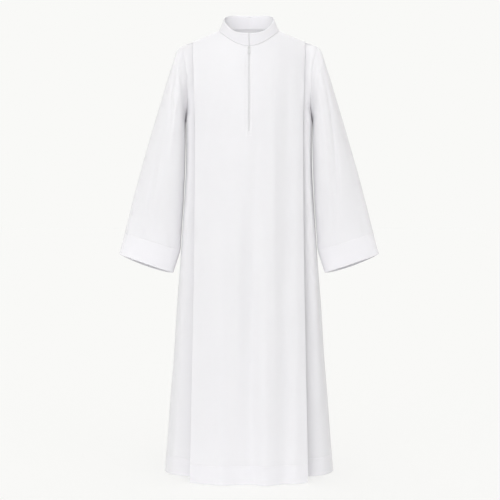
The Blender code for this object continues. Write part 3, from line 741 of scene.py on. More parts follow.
class PanelWork:
    """The rows and columns that the panels and the side pieces share."""

    UPPER_ROWS = 84
    LOWER_ROWS = 150
    COLUMNS = 50
    FINE_X = (0.0018, 0.0038, 0.0048, 0.0058, 0.0072, 0.0081, 0.0088, 0.0095, 0.0103, 0.0111, 0.0119)
    NECK_EVEN = 0.773
    FOLD_STEPS = 7
    CORNER_STEPS = 4
    STITCH_ROWS = (-1.3435, -1.3450, -1.3458, -1.3475, -1.3500)
    HEM_ROWS = (-1.3985, -1.4000)
    GROOVE_DEPTH = 0.0005
    GROOVE_HALF_WIDTH = 0.0011
    PUCKER = 0.00022
    PUCKER_LENGTH = 0.0125
    PUCKER_REACH = 0.006
    PUCKER_DRIFT = (2, 0.37)
    HEM_STEPS = 8
    DOUBLE_BELOW_STITCH = 0.001
    TURN_SPAN = (0.5, 1)
    LEG_SHARES = (0.04, 0.35, 0.65, 0.96, 1.0)
    LIP_SHARES = (0.2, 1.0)
    EDGE_FREE = 0.01
    EDGE_FREE_POWER = 8

    def __init__(self, form: type[RobeForm]) -> None:
        """Works out the rows once, for every piece."""
        self.form = form
        fine = np.array(self.FINE_X) / form.LEVELS[0].panel_half_width
        self.across = np.unique(np.concatenate([np.linspace(0, 1, self.COLUMNS + 1), fine]))
        self.shares = (1 - np.cos(np.pi * np.arange(self.UPPER_ROWS + 1) / self.UPPER_ROWS)) / 2
        down = np.linspace(form.UNDERARM_Z, self.STITCH_ROWS[0], self.LOWER_ROWS + 1)[1:-1]
        hem = np.linspace(self.STITCH_ROWS[-1], self.HEM_ROWS[0], self.HEM_STEPS + 1)[1:-1]
        self.heights = np.array([*down, *self.STITCH_ROWS, *hem, *self.HEM_ROWS])
        turned_up = self.heights < form.HEM_STITCH_Z - self.DOUBLE_BELOW_STITCH
        low = np.concatenate([np.zeros(self.UPPER_ROWS + 1, bool), turned_up])
        self.thickness = np.where(low, form.HEM_CLOTH, form.CLOTH)
        self.double = low.astype(float)[:, None]

    def pressed(self, points: np.ndarray, normals: np.ndarray, to_seam: np.ndarray) -> np.ndarray:
        """The points pulled in along the hem's stitches and the seams.

        The hem has a groove, a narrow bell of the height, and puckers, a sine along it that fades with the
        distance from the stitches. A seam is a bell of the distance from it.

        Args:
            points: The cloth.
            normals: Its normals.
            to_seam: The distance of each point from its nearest seam.

        Returns:
            The moved points.
        """
        above = points[..., 2] - self.form.HEM_STITCH_Z
        groove = self.GROOVE_DEPTH * bell(above, self.GROOVE_HALF_WIDTH)
        along = (points[..., 0] + points[..., 1]) * 2 * np.pi / self.PUCKER_LENGTH
        drift = self.PUCKER_DRIFT[0] * np.sin(along * self.PUCKER_DRIFT[1])
        pucker = self.PUCKER * np.sin(along + drift) * np.exp(-np.abs(above) / self.PUCKER_REACH)
        seam = self.form.SEAM_SINK * bell(to_seam, self.form.SEAM_SINK_WIDTH)
        return points - normals * (groove + pucker + seam)[..., None]

    def columns(self, face: Face, side: Side) -> np.ndarray:
        """Half a panel from its centre line to its fold, on the side of +X, as (rows, columns, 3).

        Each column runs straight from its point on the neck or shoulder line to its share of the chest,
        then down at that share of the panel's half width.
        """
        form, across = self.form, self.across
        turned = np.clip(across / form.NECK_SHARE, 0, 1)
        angle = lerp(turned**3, turned, self.NECK_EVEN) * np.pi / 2
        past = np.clip((across - form.NECK_SHARE) / (1 - form.NECK_SHARE), 0, 1)
        shoulder = form.PANEL_TOP_HALF_WIDTH - form.NECK_HALF_WIDTH
        top_x = form.NECK_HALF_WIDTH * np.sin(angle) + shoulder * past
        neck = form.neck_height(angle if face == Face.FRONT else np.pi - angle)
        top_z = np.where(past > 0, form.ridge_height(top_x, face), neck)
        chest_x = form.at_level("panel_half_width", form.UNDERARM_Z) * across
        share, heights = self.shares[:, None], self.heights[:, None]
        low_x = form.at_level("panel_half_width", heights) * across
        x = np.concatenate([lerp(top_x, chest_x, share), low_x])
        z = np.concatenate([lerp(top_z, form.UNDERARM_Z, share), np.broadcast_to(heights, low_x.shape)])
        if face == Face.FRONT:
            x[:, 0] = form.slit_half_width(z[:, 0])
        y = form.panel_y(side * x, z, face)
        y[0, past > 0] += face * SEAM_GAP / 2
        return np.stack([x, y, z], axis=-1)

    def frames(self, edge: np.ndarray, before: np.ndarray, face: Face) -> tuple[np.ndarray, np.ndarray]:
        """Two unit vectors in each row at a panel's edge: along the row, and out.

        Out is square to the edge's own direction at the shoulder, and turns to straight out at the underarm.
        """
        along = edge - before
        along[:, 1] = 0
        along[self.UPPER_ROWS + 1 :] = (1, 0, 0)
        along = unit(along)
        down = np.gradient(edge, axis=0)
        out = unit(np.stack([np.zeros(len(edge)), face * -down[:, 2], face * down[:, 1]], axis=-1))
        out[0] = (0, 0, 1)
        level = np.concatenate([smooth_share(*self.TURN_SPAN, self.shares), np.ones(len(self.heights))])
        out = unit(lerp(out, np.array([0.0, face, 0.0]), level[:, None]))
        return along, unit(out - (out * along).sum(axis=1, keepdims=True) * along)

    def border(self, face: Face) -> np.ndarray:
        """A side piece's outer border on the side of +X: the armhole seam, and below it the side seam.

        Args:
            face: Front or back.

        Returns:
            A point for each row.
        """
        x = self.form.at_level("body_half_width", self.heights)
        side = np.stack([x, np.zeros(len(self.heights)), self.heights], axis=-1)
        border = np.concatenate([self.form.armhole_point(self.shares, face), side])
        border[0, 1] += face * SEAM_GAP / 2
        border[self.UPPER_ROWS :, 1] += face * SEAM_GAP / 2
        return border

    def pleat_depths(self) -> np.ndarray:
        """How far the panel stands proud of the side pieces in each row."""
        form = self.form
        upper = lerp(form.PLEAT_TOP, form.at_level("pleat", form.UNDERARM_Z), self.shares**form.PLEAT_GROWTH)
        return np.concatenate([upper, form.at_level("pleat", self.heights)])

    def roundness(self) -> np.ndarray:
        """How round each row of a side piece is, from 0 at the shoulder to 1 below the underarm."""
        return np.concatenate([self.shares**self.form.ROUND_POWER, np.ones(len(self.heights))])

    def side_curve(self, corner: np.ndarray, border: np.ndarray, share: np.ndarray) -> np.ndarray:
        """Points of a side piece.

        Low down it is a quarter ellipse, swollen in its middle by a squared sine; higher up it is straighter.

        Args:
            corner: The pleat's corner in each row.
            border: The piece's outer border in each row.
            share: The share of the way from the corner to the border, as (rows, columns).

        Returns:
            The points as (rows, columns, 3).
        """
        form = self.form
        round_share = self.roundness()[:, None]
        levels = np.concatenate([np.full(self.UPPER_ROWS + 1, form.UNDERARM_Z), self.heights])
        swell = np.sin(share * np.pi) ** 2 * form.at_level("side_fullness", levels)[:, None]
        across = lerp(share, np.sin(share * np.pi / 2) + form.SIDE_SWELL[0] * swell, round_share)
        back = 1 - np.cos(share * np.pi / 2) - form.SIDE_SWELL[1] * swell
        back = lerp((1 - np.cos(share * np.pi)) / 2, back, round_share)
        return corner[:, None, :] + (border - corner)[:, None, :] * np.stack([across, back, across], axis=-1)

    def lip_share(self, corner: np.ndarray, border: np.ndarray, distance: float) -> np.ndarray:
        """The share along a side piece's rows at which they are about a distance from the pleat's corner."""
        width = np.linalg.norm((border - corner)[:, [0, 2]], axis=1)
        return distance / width / lerp(1, np.pi / 2, self.roundness())

    def half(self, face: Face, side: Side) -> HalfPanel:
        """Half a panel with its pleat: an arc at the fold, a straight leg back, a small arc, and a lip.

        Args:
            face: Front or back.
            side: The wearer's side, whose folds it takes.

        Returns:
            The half, on the side of +X.
        """
        form = self.form
        panel = self.columns(face, side)
        edge = panel[:, -1]
        along, out = self.frames(edge, panel[:, -2], face)

        def angle_in(vectors: np.ndarray) -> np.ndarray:
            """The angle by which each vector points in, away from its row's out direction."""
            return np.arctan2(-(vectors * out).sum(axis=1), (vectors * along).sum(axis=1))

        def normal(angle: np.ndarray) -> np.ndarray:
            """The unit vector that leans from out towards along by an angle."""
            return np.sin(angle)[:, None] * along + np.cos(angle)[:, None] * out

        lead = angle_in(edge - panel[:, -2])
        depth = self.pleat_depths()
        radius = self.thickness + form.FOLD_SPACE
        turn = np.pi / 2 + np.arctan(form.PLEAT_LAP / depth)
        border = self.border(face)
        guess = edge - depth[:, None] * out - form.PLEAT_LAP * along
        lean = angle_in((border - guess) * (1, 0, 1))
        drop = radius * (np.cos(lead) - np.cos(turn)) + form.CORNER_RADIUS * (np.cos(lean) - np.cos(turn))
        straight = np.maximum((depth - drop) / np.sin(turn), form.PLEAT_SHORTEST)
        points: list[np.ndarray] = []
        normals = [normal(lead)]
        centre = edge - radius[:, None] * normal(lead)
        for step in range(1, self.FOLD_STEPS + 1):
            angle = lerp(lead, turn, step / self.FOLD_STEPS)
            points.append(centre + radius[:, None] * normal(angle))
            normals.append(normal(angle))
        direction = np.cos(turn)[:, None] * along - np.sin(turn)[:, None] * out
        fold_end = points[-1]
        for share in self.LEG_SHARES:
            points.append(fold_end + share * straight[:, None] * direction)
            normals.append(normal(turn))
        centre = points[-1] + form.CORNER_RADIUS * normal(turn)
        for step in range(1, self.CORNER_STEPS + 1):
            angle = lerp(turn, lean, step / self.CORNER_STEPS)
            points.append(centre - form.CORNER_RADIUS * normal(angle))
            normals.append(normal(angle))
        corner = points[-1]
        lip = self.lip_share(corner, border, form.LIP)
        for share in self.LIP_SHARES:
            points.append(self.side_curve(corner, border, share * lip[:, None])[:, 0])
            normals.append(normal(lean))
        surface = grid_normals(panel, face)
        surface[0, self.across >= form.NECK_SHARE] = normal(lead)[0]
        surface[:, -1] = normals[0]
        to_seam = np.linalg.norm(panel - panel[:1], axis=-1)
        to_seam = to_seam + self.across**self.EDGE_FREE_POWER * self.EDGE_FREE
        double = np.repeat(self.double, panel.shape[1] + len(points), axis=1)
        if face == Face.FRONT:
            strip = form.placket(panel[..., 0], panel[..., 2])
            panel = panel + surface * (form.PLACKET_HEIGHT * strip)[..., None]
            flat = double[:, : panel.shape[1]]
            flat[:] = np.maximum(flat, strip * form.PLACKET_DOUBLE)
        panel = self.pressed(panel, surface, to_seam)
        all_points = np.concatenate([panel, np.stack(points, axis=1)], axis=1)
        all_normals = np.concatenate([surface, np.stack(normals[1:], axis=1)], axis=1)
        return HalfPanel(all_points, all_normals, double, corner, normal(lean))


def dressed(
    piece: bpy.types.Object, material: bpy.types.Material, body: Body, nodes: tuple[str, ...] = ()
) -> bpy.types.Object:
    """Gives a piece its material, sets it on its body, and has it stand for CAD nodes.

    Args:
        piece: The finished object.
        material: Its material.
        body: The body that it rides on.
        nodes: The CAD nodes that it replaces.

    Returns:
        The same object.
    """
    piece.data.materials.clear()
    piece.data.materials.append(material)
    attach(piece, body.value)
    if nodes:
        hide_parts(*nodes)
    LOG.info("%s: %d faces, rides on %s", piece.name, len(piece.data.polygons), body.value)
    return piece


@dataclass(frozen=True)
class Beads:
    """A run of small closed spindles: each is a six-sided tube whose size swells towards its middle."""

    radius: float
    swell: tuple[float, ...]
    rise: tuple[float, ...]
    around: int = 6

    def build(self, place: np.ndarray, up: np.ndarray) -> tuple[np.ndarray, np.ndarray]:
        """Corners and quads of the spindles.

        At each station a ring lies about the path, its centre raised by a share of the radius.

        Args:
            place: The stations' places, as (count, stations, 3).
            up: Unit vectors away from the cloth there.

        Returns:
            Corners as (count, 3) and quads as (count, 4).
        """
        along = unit(place[:, -1:] - place[:, :1])
        wide = unit(np.cross(along, up))
        turns = np.arange(self.around) * 2 * np.pi / self.around
        size = self.radius * np.array(self.swell)[None, :, None, None]
        centre = place + up * self.radius * np.array(self.rise)[None, :, None]
        round_it = up[:, :, None] * np.cos(turns)[:, None] + wide[:, :, None] * np.sin(turns)[:, None]
        rings = centre[:, :, None] + size * round_it
        quads = MeshWriter.tube_quads(len(self.swell), self.around)
        starts = np.arange(len(place)) * len(self.swell) * self.around
        return rings.reshape(-1, 3), (quads[None] + starts[:, None, None]).reshape(-1, 4)


class Shapes:
    """Sums up several closed shapes and makes one object of them."""

    def __init__(self) -> None:
        """Starts with nothing."""
        self.corners: list[np.ndarray] = []
        self.quads: list[np.ndarray] = []
        self.used = 0

    def add(self, corners: np.ndarray, quads: np.ndarray) -> None:
        """Adds a closed shape, turned so that its faces point out.

        Args:
            corners: Points as (count, 3).
            quads: Corner numbers as (count, 4).
        """
        if MeshWriter.signed_volume(corners, quads) < 0:
            quads = quads[:, ::-1]
        self.corners.append(corners)
        self.quads.append(quads + self.used)
        self.used += len(corners)

    def piece(self, name: str) -> bpy.types.Object:
        """The object."""
        return MeshWriter.quad_object(name, np.concatenate(self.corners), np.concatenate(self.quads))


@dataclass(frozen=True)
class Stitching:
    """Rows of lockstitches. Each stitch is a spindle whose two ends dip into the cloth."""

    pitch: float = 0.0029
    length: float = 0.0024
    run: tuple[float, ...] = (-1.0, -0.6, 0.0, 0.6, 1.0)
    stitch: Beads = Beads(0.00025, (0.35, 0.85, 1.0, 0.85, 0.35), (-0.5, 0.5, 0.9, 0.5, -0.5))

    def piece(self, name: str, rows: list[Path]) -> bpy.types.Object:
        """One object that holds several rows of stitches.

        Each path is walked in equal steps, and each stitch takes five stations about its middle.

        Args:
            name: The object's name.
            rows: For each row the points of its path, and the cloth's unit normals there.

        Returns:
            The new object.
        """
        shapes = Shapes()
        for path, normals in rows:
            run = run_along(path)
            middle = (np.arange(int(run[-1] / self.pitch)) + 0.5) * self.pitch
            at = middle[:, None] + np.array(self.run) * self.length / 2
            place = np.stack([np.interp(at, run, path[:, axis]) for axis in range(3)], axis=-1)
            up = unit(np.stack([np.interp(at, run, normals[:, axis]) for axis in range(3)], axis=-1))
            shapes.add(*self.stitch.build(place, up))
        return shapes.piece(name)


@dataclass
class Panels:
    """The front and the back panel, each one sheet of cloth with its pleats."""

    work: PanelWork
    halves: dict[tuple[Face, Side], HalfPanel] = field(default_factory=dict)
    hem_rows: list[Path] = field(default_factory=list)
    CUTS = {Face.FRONT: Cut(0.57, 1.42, 0.645), Face.BACK: Cut(0.57, 1.43, 0.655)}

    def build(self, face: Face, material: bpy.types.Material) -> bpy.types.Object:
        """A panel from lip to lip: the right half turned over, then the left half.

        Args:
            face: Front or back.
            material: The cloth.

        Returns:
            The new object.
        """
        for side in Side:
            self.halves[face, side] = self.work.half(face, side)
        left, right = self.halves[face, Side.LEFT], self.halves[face, Side.RIGHT]
        skip = None if face == Face.FRONT else -1
        turned = (*on_side(Side.RIGHT, right.points, right.normals), right.double)
        points, normals, double = (
            np.concatenate([over[:, ::-1][:, :skip], own], axis=1)
            for over, own in zip(turned, (left.points, left.normals, left.double))
        )
        centre = right.points.shape[1] - (face == Face.BACK)
        if face == Face.BACK:
            normals[:, centre, 0] = 0
            normals = unit(normals)
        kept = np.ones((points.shape[0] - 1, points.shape[1] - 1), bool)
        if face == Face.FRONT:
            slit_end = self.work.form.ZIP_END_Z - self.work.form.SLIT_TAIL
            kept[points[1:, centre, 2] > slit_end, centre - 1] = False
        grid = ClothGrid(points, normals, self.work.thickness, double)
        panel = MeshWriter.cloth_object(f"cloth_{face.word}", grid, centre, kept)
        dressed(panel, material, Body.ROBE, (f"{face.word}_panel",))
        row = int(np.argmin(np.abs(points[:, centre, 2] - self.work.form.HEM_STITCH_Z)))
        reach = len(self.work.across) - 1
        run = slice(centre - reach, centre + reach)
        self.hem_rows.append((points[row, run], normals[row, run]))
        return panel


@dataclass
class SidePieces:
    """The four side pieces, from a pleat to the armhole and the side seam."""

    work: PanelWork
    hem_rows: list[Path] = field(default_factory=list)
    columns: int = 40
    CUTS = {Face.FRONT: Cut(0.155, 1.36, 0.135), Face.BACK: Cut(0.150, 1.36, 0.126)}
    CREASES = {
        (Face.FRONT, Side.LEFT): (
            Crease(0.42, -1.05, 0.16, 0.45, 0.0, 0.0040),
            Crease(0.62, -0.60, 0.12, 0.20, 0.1, -0.0022),
        ),
        (Face.FRONT, Side.RIGHT): (
            Crease(0.50, -1.15, 0.14, 0.30, 0.0, 0.0026),
            Crease(0.36, -0.70, 0.12, 0.25, -0.1, -0.0018),
        ),
        (Face.BACK, Side.LEFT): (
            Crease(0.46, -1.00, 0.15, 0.40, 0.0, 0.0034),
            Crease(0.68, -1.20, 0.09, 0.18, 0.1, -0.0024),
        ),
        (Face.BACK, Side.RIGHT): (
            Crease(0.40, -1.10, 0.16, 0.36, 0.0, 0.0038),
            Crease(0.60, -0.66, 0.12, 0.22, -0.1, -0.0020),
        ),
    }

    def build(
        self, face: Face, side: Side, half: HalfPanel, material: bpy.types.Material
    ) -> bpy.types.Object:
        """A side piece, which starts a seam's width past the panel's lip.

        Args:
            face: Front or back.
            side: The wearer's side.
            half: The panel's half that it is sewn to.
            material: The cloth.

        Returns:
            The new object.
        """
        work = self.work
        border = work.border(face)
        start = work.lip_share(half.corner, border, work.form.LIP + SEAM_GAP)
        share = lerp(start[:, None], 1, np.linspace(0, 1, self.columns + 1)[None, :])
        points = work.side_curve(half.corner, border, share)
        normals = grid_normals(points, face)
        edge = np.sin(np.pi * np.clip(share, 0, 1))
        relief = creased(share, points[..., 2], self.CREASES[face, side]) * edge
        points = points + normals * relief[..., None]
        normals = grid_normals(points, face)
        normals[:, 0] = half.lip_normal
        normals[0, :, 1] = 0
        normals[work.UPPER_ROWS :, -1] = (1, 0, 0)
        normals = unit(normals)
        to_seam = np.linalg.norm(points - border[:, None], axis=-1)
        points, normals = on_side(side, work.pressed(points, normals, to_seam), normals)
        grid = ClothGrid(points, normals, work.thickness, work.double)
        name = f"{face.word}_{side.word}"
        piece = MeshWriter.cloth_object(f"cloth_side_{name}", grid)
        dressed(piece, material, Body.ROBE, (f"side_{name}",))
        row = int(np.argmin(np.abs(points[:, -1, 2] - work.form.HEM_STITCH_Z)))
        self.hem_rows.append((points[row], normals[row]))
        return piece


@dataclass
class Sleeves:
    """The two wide sleeves, each a tube of rings from the armhole to the cuff."""

    form: type[RobeForm]
    cuff_rows: list[Path] = field(default_factory=list)
    rows_per_ring: int = 13
    half_around: int = 46
    POWERS = {Face.FRONT: 0.36, Face.BACK: 0.58}
    back_share: float = 1.28
    blend_rings: int = 4
    cuff_ring: int = 11
    cuff_fine: tuple[float, ...] = (-0.04, 0.04, 0.08)
    mouth_fine: float = 0.05
    creases_start: tuple[float, float] = (0.0, 0.02)
    creases_power: float = 0.5
    cut: Cut = Cut(0.54, 0.72, 0.250)
    rings: tuple[Ring, ...] = (
        Ring((0.2133, -0.005, -0.0484), (0.1993, 0.000, -0.2850), 0.045, 0.000),
        Ring((0.2235, -0.005, -0.0568), (0.2012, -0.003, -0.2900), 0.053, 0.000),
        Ring((0.2315, -0.006, -0.0712), (0.2013, -0.008, -0.2970), 0.059, 0.000),
        Ring((0.2400, -0.007, -0.0997), (0.2010, -0.014, -0.3100), 0.064, 0.000),
        Ring((0.2560, -0.008, -0.1505), (0.2004, -0.021, -0.3360), 0.067, 0.000),
        Ring((0.2765, -0.009, -0.2180), (0.2007, -0.026, -0.3780), 0.068, 0.000),
        Ring((0.2990, -0.010, -0.2920), (0.2018, -0.028, -0.4320), 0.067, 0.000),
        Ring((0.3225, -0.012, -0.3720), (0.2042, -0.028, -0.4900), 0.063, 0.000),
        Ring((0.3460, -0.014, -0.4540), (0.2070, -0.028, -0.5460), 0.058, 0.001),
        Ring((0.3690, -0.016, -0.5400), (0.2110, -0.026, -0.6030), 0.052, 0.003),
        Ring((0.3860, -0.018, -0.6070), (0.2150, -0.025, -0.6560), 0.047, 0.006),
        Ring((0.3937, -0.019, -0.6390), (0.2179, -0.024, -0.6940), 0.045, 0.008),
        Ring((0.4022, -0.020, -0.6725), (0.2285, -0.024, -0.7290), 0.041, 0.011),
        Ring((0.4115, -0.020, -0.7045), (0.2395, -0.024, -0.7635), 0.038, 0.014),
    )
    CREASES = {
        Side.LEFT: (
            Crease(-0.367, 0.26, 0.050, 0.27, -0.95, -0.0040),
            Crease(-0.250, 0.027, 0.220, 0.009, 0.0, -0.0020),
            Crease(-0.640, 0.30, 0.050, 0.24, -0.40, 0.0024),
            Crease(-0.120, 0.42, 0.040, 0.20, -0.20, -0.0020),
            Crease(0.340, 0.24, 0.055, 0.22, 0.90, -0.0040),
            Crease(0.600, 0.36, 0.050, 0.20, 0.50, -0.0030),
            Crease(0.220, 0.028, 0.200, 0.009, 0.0, -0.0018),
        ),
        Side.RIGHT: (
            Crease(-0.260, 0.10, 0.050, 0.085, -2.20, -0.0036),
            Crease(-0.420, 0.026, 0.260, 0.009, 0.0, -0.0022),
            Crease(-0.560, 0.19, 0.055, 0.12, -0.60, 0.0026),
            Crease(-0.330, 0.44, 0.050, 0.18, -0.30, -0.0022),
            Crease(0.380, 0.22, 0.050, 0.20, 1.00, -0.0038),
            Crease(0.560, 0.42, 0.055, 0.20, 0.40, -0.0026),
            Crease(0.280, 0.028, 0.200, 0.009, 0.0, -0.0020),
        ),
    }

    def rows(self) -> tuple[np.ndarray, np.ndarray]:
        """The rings' table read by a cubic, closer together at the cuff's stitches and at its mouth.

        Returns:
            Each row's number among the rings, and its values in the order of a ring's fields.
        """
        table = np.array([(*ring.outer, *ring.inner, ring.half_depth, ring.back_fall) for ring in self.rings])
        last = len(table) - 1
        number = np.linspace(0, last, last * self.rows_per_ring + 1)
        extra = [*(self.cuff_ring + np.array(self.cuff_fine)), last - self.mouth_fine]
        number = np.unique(np.round(np.concatenate([number, extra]), 6))
        return number, cubic_table(np.arange(len(table)), table, np.gradient(table, axis=0), number)

    def relief(
        self, side: Side, place: np.ndarray, share: np.ndarray, run: np.ndarray, stitch: float
    ) -> np.ndarray:
        """The creases, the pull of the armhole seam and the groove of the cuff's stitches.

        The creases grow from the armhole seam, and fade as a root of a sine at the ring's two ends.

        Args:
            side: The wearer's side, whose creases it takes.
            place: The share of the way round, negative down the front.
            share: The same without its sign.
            run: How far down the sleeve each row is.
            stitch: How far down it the cuff's stitches run.

        Returns:
            The height at each point.
        """
        relief = creased(place, run, self.CREASES[side]) * smooth_share(*self.creases_start, run)
        relief = relief * np.sin(np.pi * share) ** self.creases_power
        relief = relief - self.form.SEAM_SINK * bell(run, self.form.SEAM_SINK_WIDTH)
        return relief - PanelWork.GROOVE_DEPTH * bell(run - stitch, PanelWork.GROOVE_HALF_WIDTH)

    def grid(self, side: Side) -> ClothGrid:
        """The sleeve.

        Each ring runs from its outer end to its inner end; its depth is a power of the sine of the share of
        the way, down the front and up the back.

        Args:
            side: The wearer's side.

        Returns:
            The closed grid.
        """
        form = self.form
        number, rows = self.rows()
        half = (1 - np.cos(np.pi * np.arange(self.half_around + 1) / self.half_around)) / 2
        share = np.concatenate([half, half[-2:0:-1]])[None, :]
        face = np.concatenate([np.full(len(half), Face.FRONT), np.full(len(half) - 2, Face.BACK)])[None, :]
        away = np.minimum(number / self.blend_rings, 1)[:, None]
        power = np.where(face == Face.FRONT, self.POWERS[Face.FRONT], self.POWERS[Face.BACK])
        bulge = np.sin(np.pi * share) ** lerp(form.ARMHOLE_POWER, power, away)
        fullness = lerp(1, np.where(face == Face.FRONT, 1, self.back_share), away)
        points = lerp(rows[:, None, 0:3], rows[:, None, 3:6], share[..., None])
        points[..., 0] -= form.ARMHOLE_BOW * np.sin(np.pi * share) * (1 - away)
        points[..., 1] += face * rows[:, 6, None] * bulge * fullness
        points[..., 2] -= rows[:, 7, None] * bulge * (face == Face.BACK)
        run = run_along(rows[:, 0:3])[:, None]
        stitch = np.interp(self.cuff_ring, number, run[:, 0])
        relief = self.relief(side, face * share, share, run, stitch)
        points = points + grid_normals(points, 1, closed=True) * relief[..., None]
        normals = grid_normals(points, 1, closed=True)
        normals[0, :, 0] = np.minimum(normals[0, :, 0], 0)
        points, normals = on_side(side, points, unit(normals))
        cuff = number > self.cuff_ring
        row = int(np.argmin(np.abs(number - self.cuff_ring)))
        loop = np.append(np.arange(points.shape[1]), 0)
        self.cuff_rows.append((points[row, loop], normals[row, loop]))
        thickness = np.where(cuff, form.HEM_CLOTH, form.CLOTH)
        return ClothGrid(points, normals, thickness, cuff.astype(float)[:, None], closed=True)

    def build(self, side: Side, material: bpy.types.Material) -> bpy.types.Object:
        """One sleeve.

        Args:
            side: The wearer's side.
            material: The cloth.

        Returns:
            The new object.
        """
        sleeve = MeshWriter.cloth_object(f"cloth_sleeve_{side.word}", self.grid(side))
        dressed(sleeve, material, Body.ROBE, (f"sleeve_{side.word}",))
        return sleeve


@dataclass
class Collar:
    """The stand collar in two halves, seamed at the centre back and open at the centre front.

    Its grid and its row of stitches lie on its inner face, where the normals point to the middle of the neck.
    Its inner face and its edges take a lighter colour, painted light, and its outer face a darker one,
    painted shade.
    """

    form: type[RobeForm]
    stitch_rows: list[Path] = field(default_factory=list)
    angles: int = 90
    rows: int = 20
    fine_angles: tuple[float, ...] = (0.05, 0.075, 0.10, 0.125, 3.09, 3.115, 3.13)
    fine_shares: tuple[float, ...] = (0.015, 0.03, 0.075, 0.87, 0.885, 0.915, 0.93)
    height: float = 0.040
    topstitch: float = 0.0042
    stitch_points: tuple[int, int] = (40, 400)
    stitch_end: float = 0.02
    groove: float = 0.0004
    front_angle: int = 2
    front_free: float = 0.1
    thickness: float = 0.0022
    top_half_width: float = 0.0772
    top_half_depth: float = 0.0670
    top_y: float = -0.0065
    back_top_z: float = 0.0584
    fall: float = 0.0784
    fall_power: float = 1.757
    front_power: int = 8
    cut: Cut = Cut(0.245, 0.048, 0.0107)

    def top(self, angle: np.ndarray) -> np.ndarray:
        """The top edge: an oval that falls with the share towards the front, and more with its power.

        Args:
            angle: Angles round the neck, 0 at the centre front.

        Returns:
            The points.
        """
        front = (1 + np.cos(angle)) / 2
        x = self.top_half_width * np.sin(angle)
        y = self.top_y - self.top_half_depth * np.cos(angle)
        fall = front**self.fall_power + front**self.front_power * (1 - front)
        return np.stack([x, y, self.back_top_z - self.fall * fall], axis=-1)

    def surface(self, angle: np.ndarray, share: np.ndarray) -> np.ndarray:
        """The collar on the side of +X: straight from the neck seam to the top edge at each angle."""
        base = self.form.neck_point(angle)
        return lerp(base, self.top(angle), share[..., None])

    def build(self, side: Side, material: bpy.types.Material) -> bpy.types.Object:
        """Half the collar, pressed along its seams and along the stitches below its top edge.

        Args:
            side: The wearer's side.
            material: The stiffened cloth, darker outside as painted shade and lighter inside as painted
                light.

        Returns:
            The new object.
        """
        form = self.form
        angle = np.unique(np.concatenate([np.linspace(0, np.pi, self.angles + 1), self.fine_angles]))
        share = np.unique(np.concatenate([np.linspace(0, 1, self.rows + 1), self.fine_shares]))
        points = self.surface(angle[None, :], share[:, None])
        points[:, 0, 0] = form.SLIT_HALF_WIDTHS[1][0]
        points[:, -1, 0] = SEAM_GAP / 2
        normals = grid_normals(points, -1)
        normals[[0, -1], :, 2] = 0
        normals[:, [0, -1], 0] = 0
        normals = unit(normals)
        to_back = np.abs(points[..., 0]) + self.front_free * (angle < self.front_angle)
        to_seam = np.minimum(np.linalg.norm(points - points[:1], axis=-1), to_back)
        below = np.linalg.norm(points - points[-1:], axis=-1)
        sink = form.SEAM_SINK * bell(to_seam, form.SEAM_SINK_WIDTH)
        sink = sink + self.groove * bell(below - self.topstitch, PanelWork.GROOVE_HALF_WIDTH)
        points, normals = on_side(side, points - normals * sink[..., None], normals)
        thickness = np.full(len(share), self.thickness)
        # The inside face and the edges take the finish's lighter colour, painted light; the outside takes its
        # darker colour, painted shade.
        grid = ClothGrid(points, normals, thickness, np.ones((1, 1)), painted_light_own_face=True)
        piece = MeshWriter.cloth_object(f"cloth_collar_{side.word}", grid)
        dressed(piece, material, Body.ROBE, (f"collar_{side.word}",))
        self.stitch_rows.append(self.stitch_row(side))
        return piece

    def stitch_row(self, side: Side) -> Path:
        """The topstitching: up beside the front edge, then round below the top edge to the centre back.

        Args:
            side: The wearer's side.

        Returns:
            The path's points and normals.
        """
        rise, turn = self.stitch_points
        up = np.linspace(self.topstitch / self.height, 1 - self.topstitch / self.height, rise)
        front = np.arcsin(Zip.stitch_x / lerp(self.form.NECK_HALF_WIDTH, self.top_half_width, up))
        round_it = np.linspace(front[-1], np.pi - self.stitch_end, turn)[1:]
        angle = np.concatenate([front, round_it])
        share = np.concatenate([up, np.full(len(round_it), up[-1])])
        return on_side(side, *lifted(self.surface, angle, share, -1))


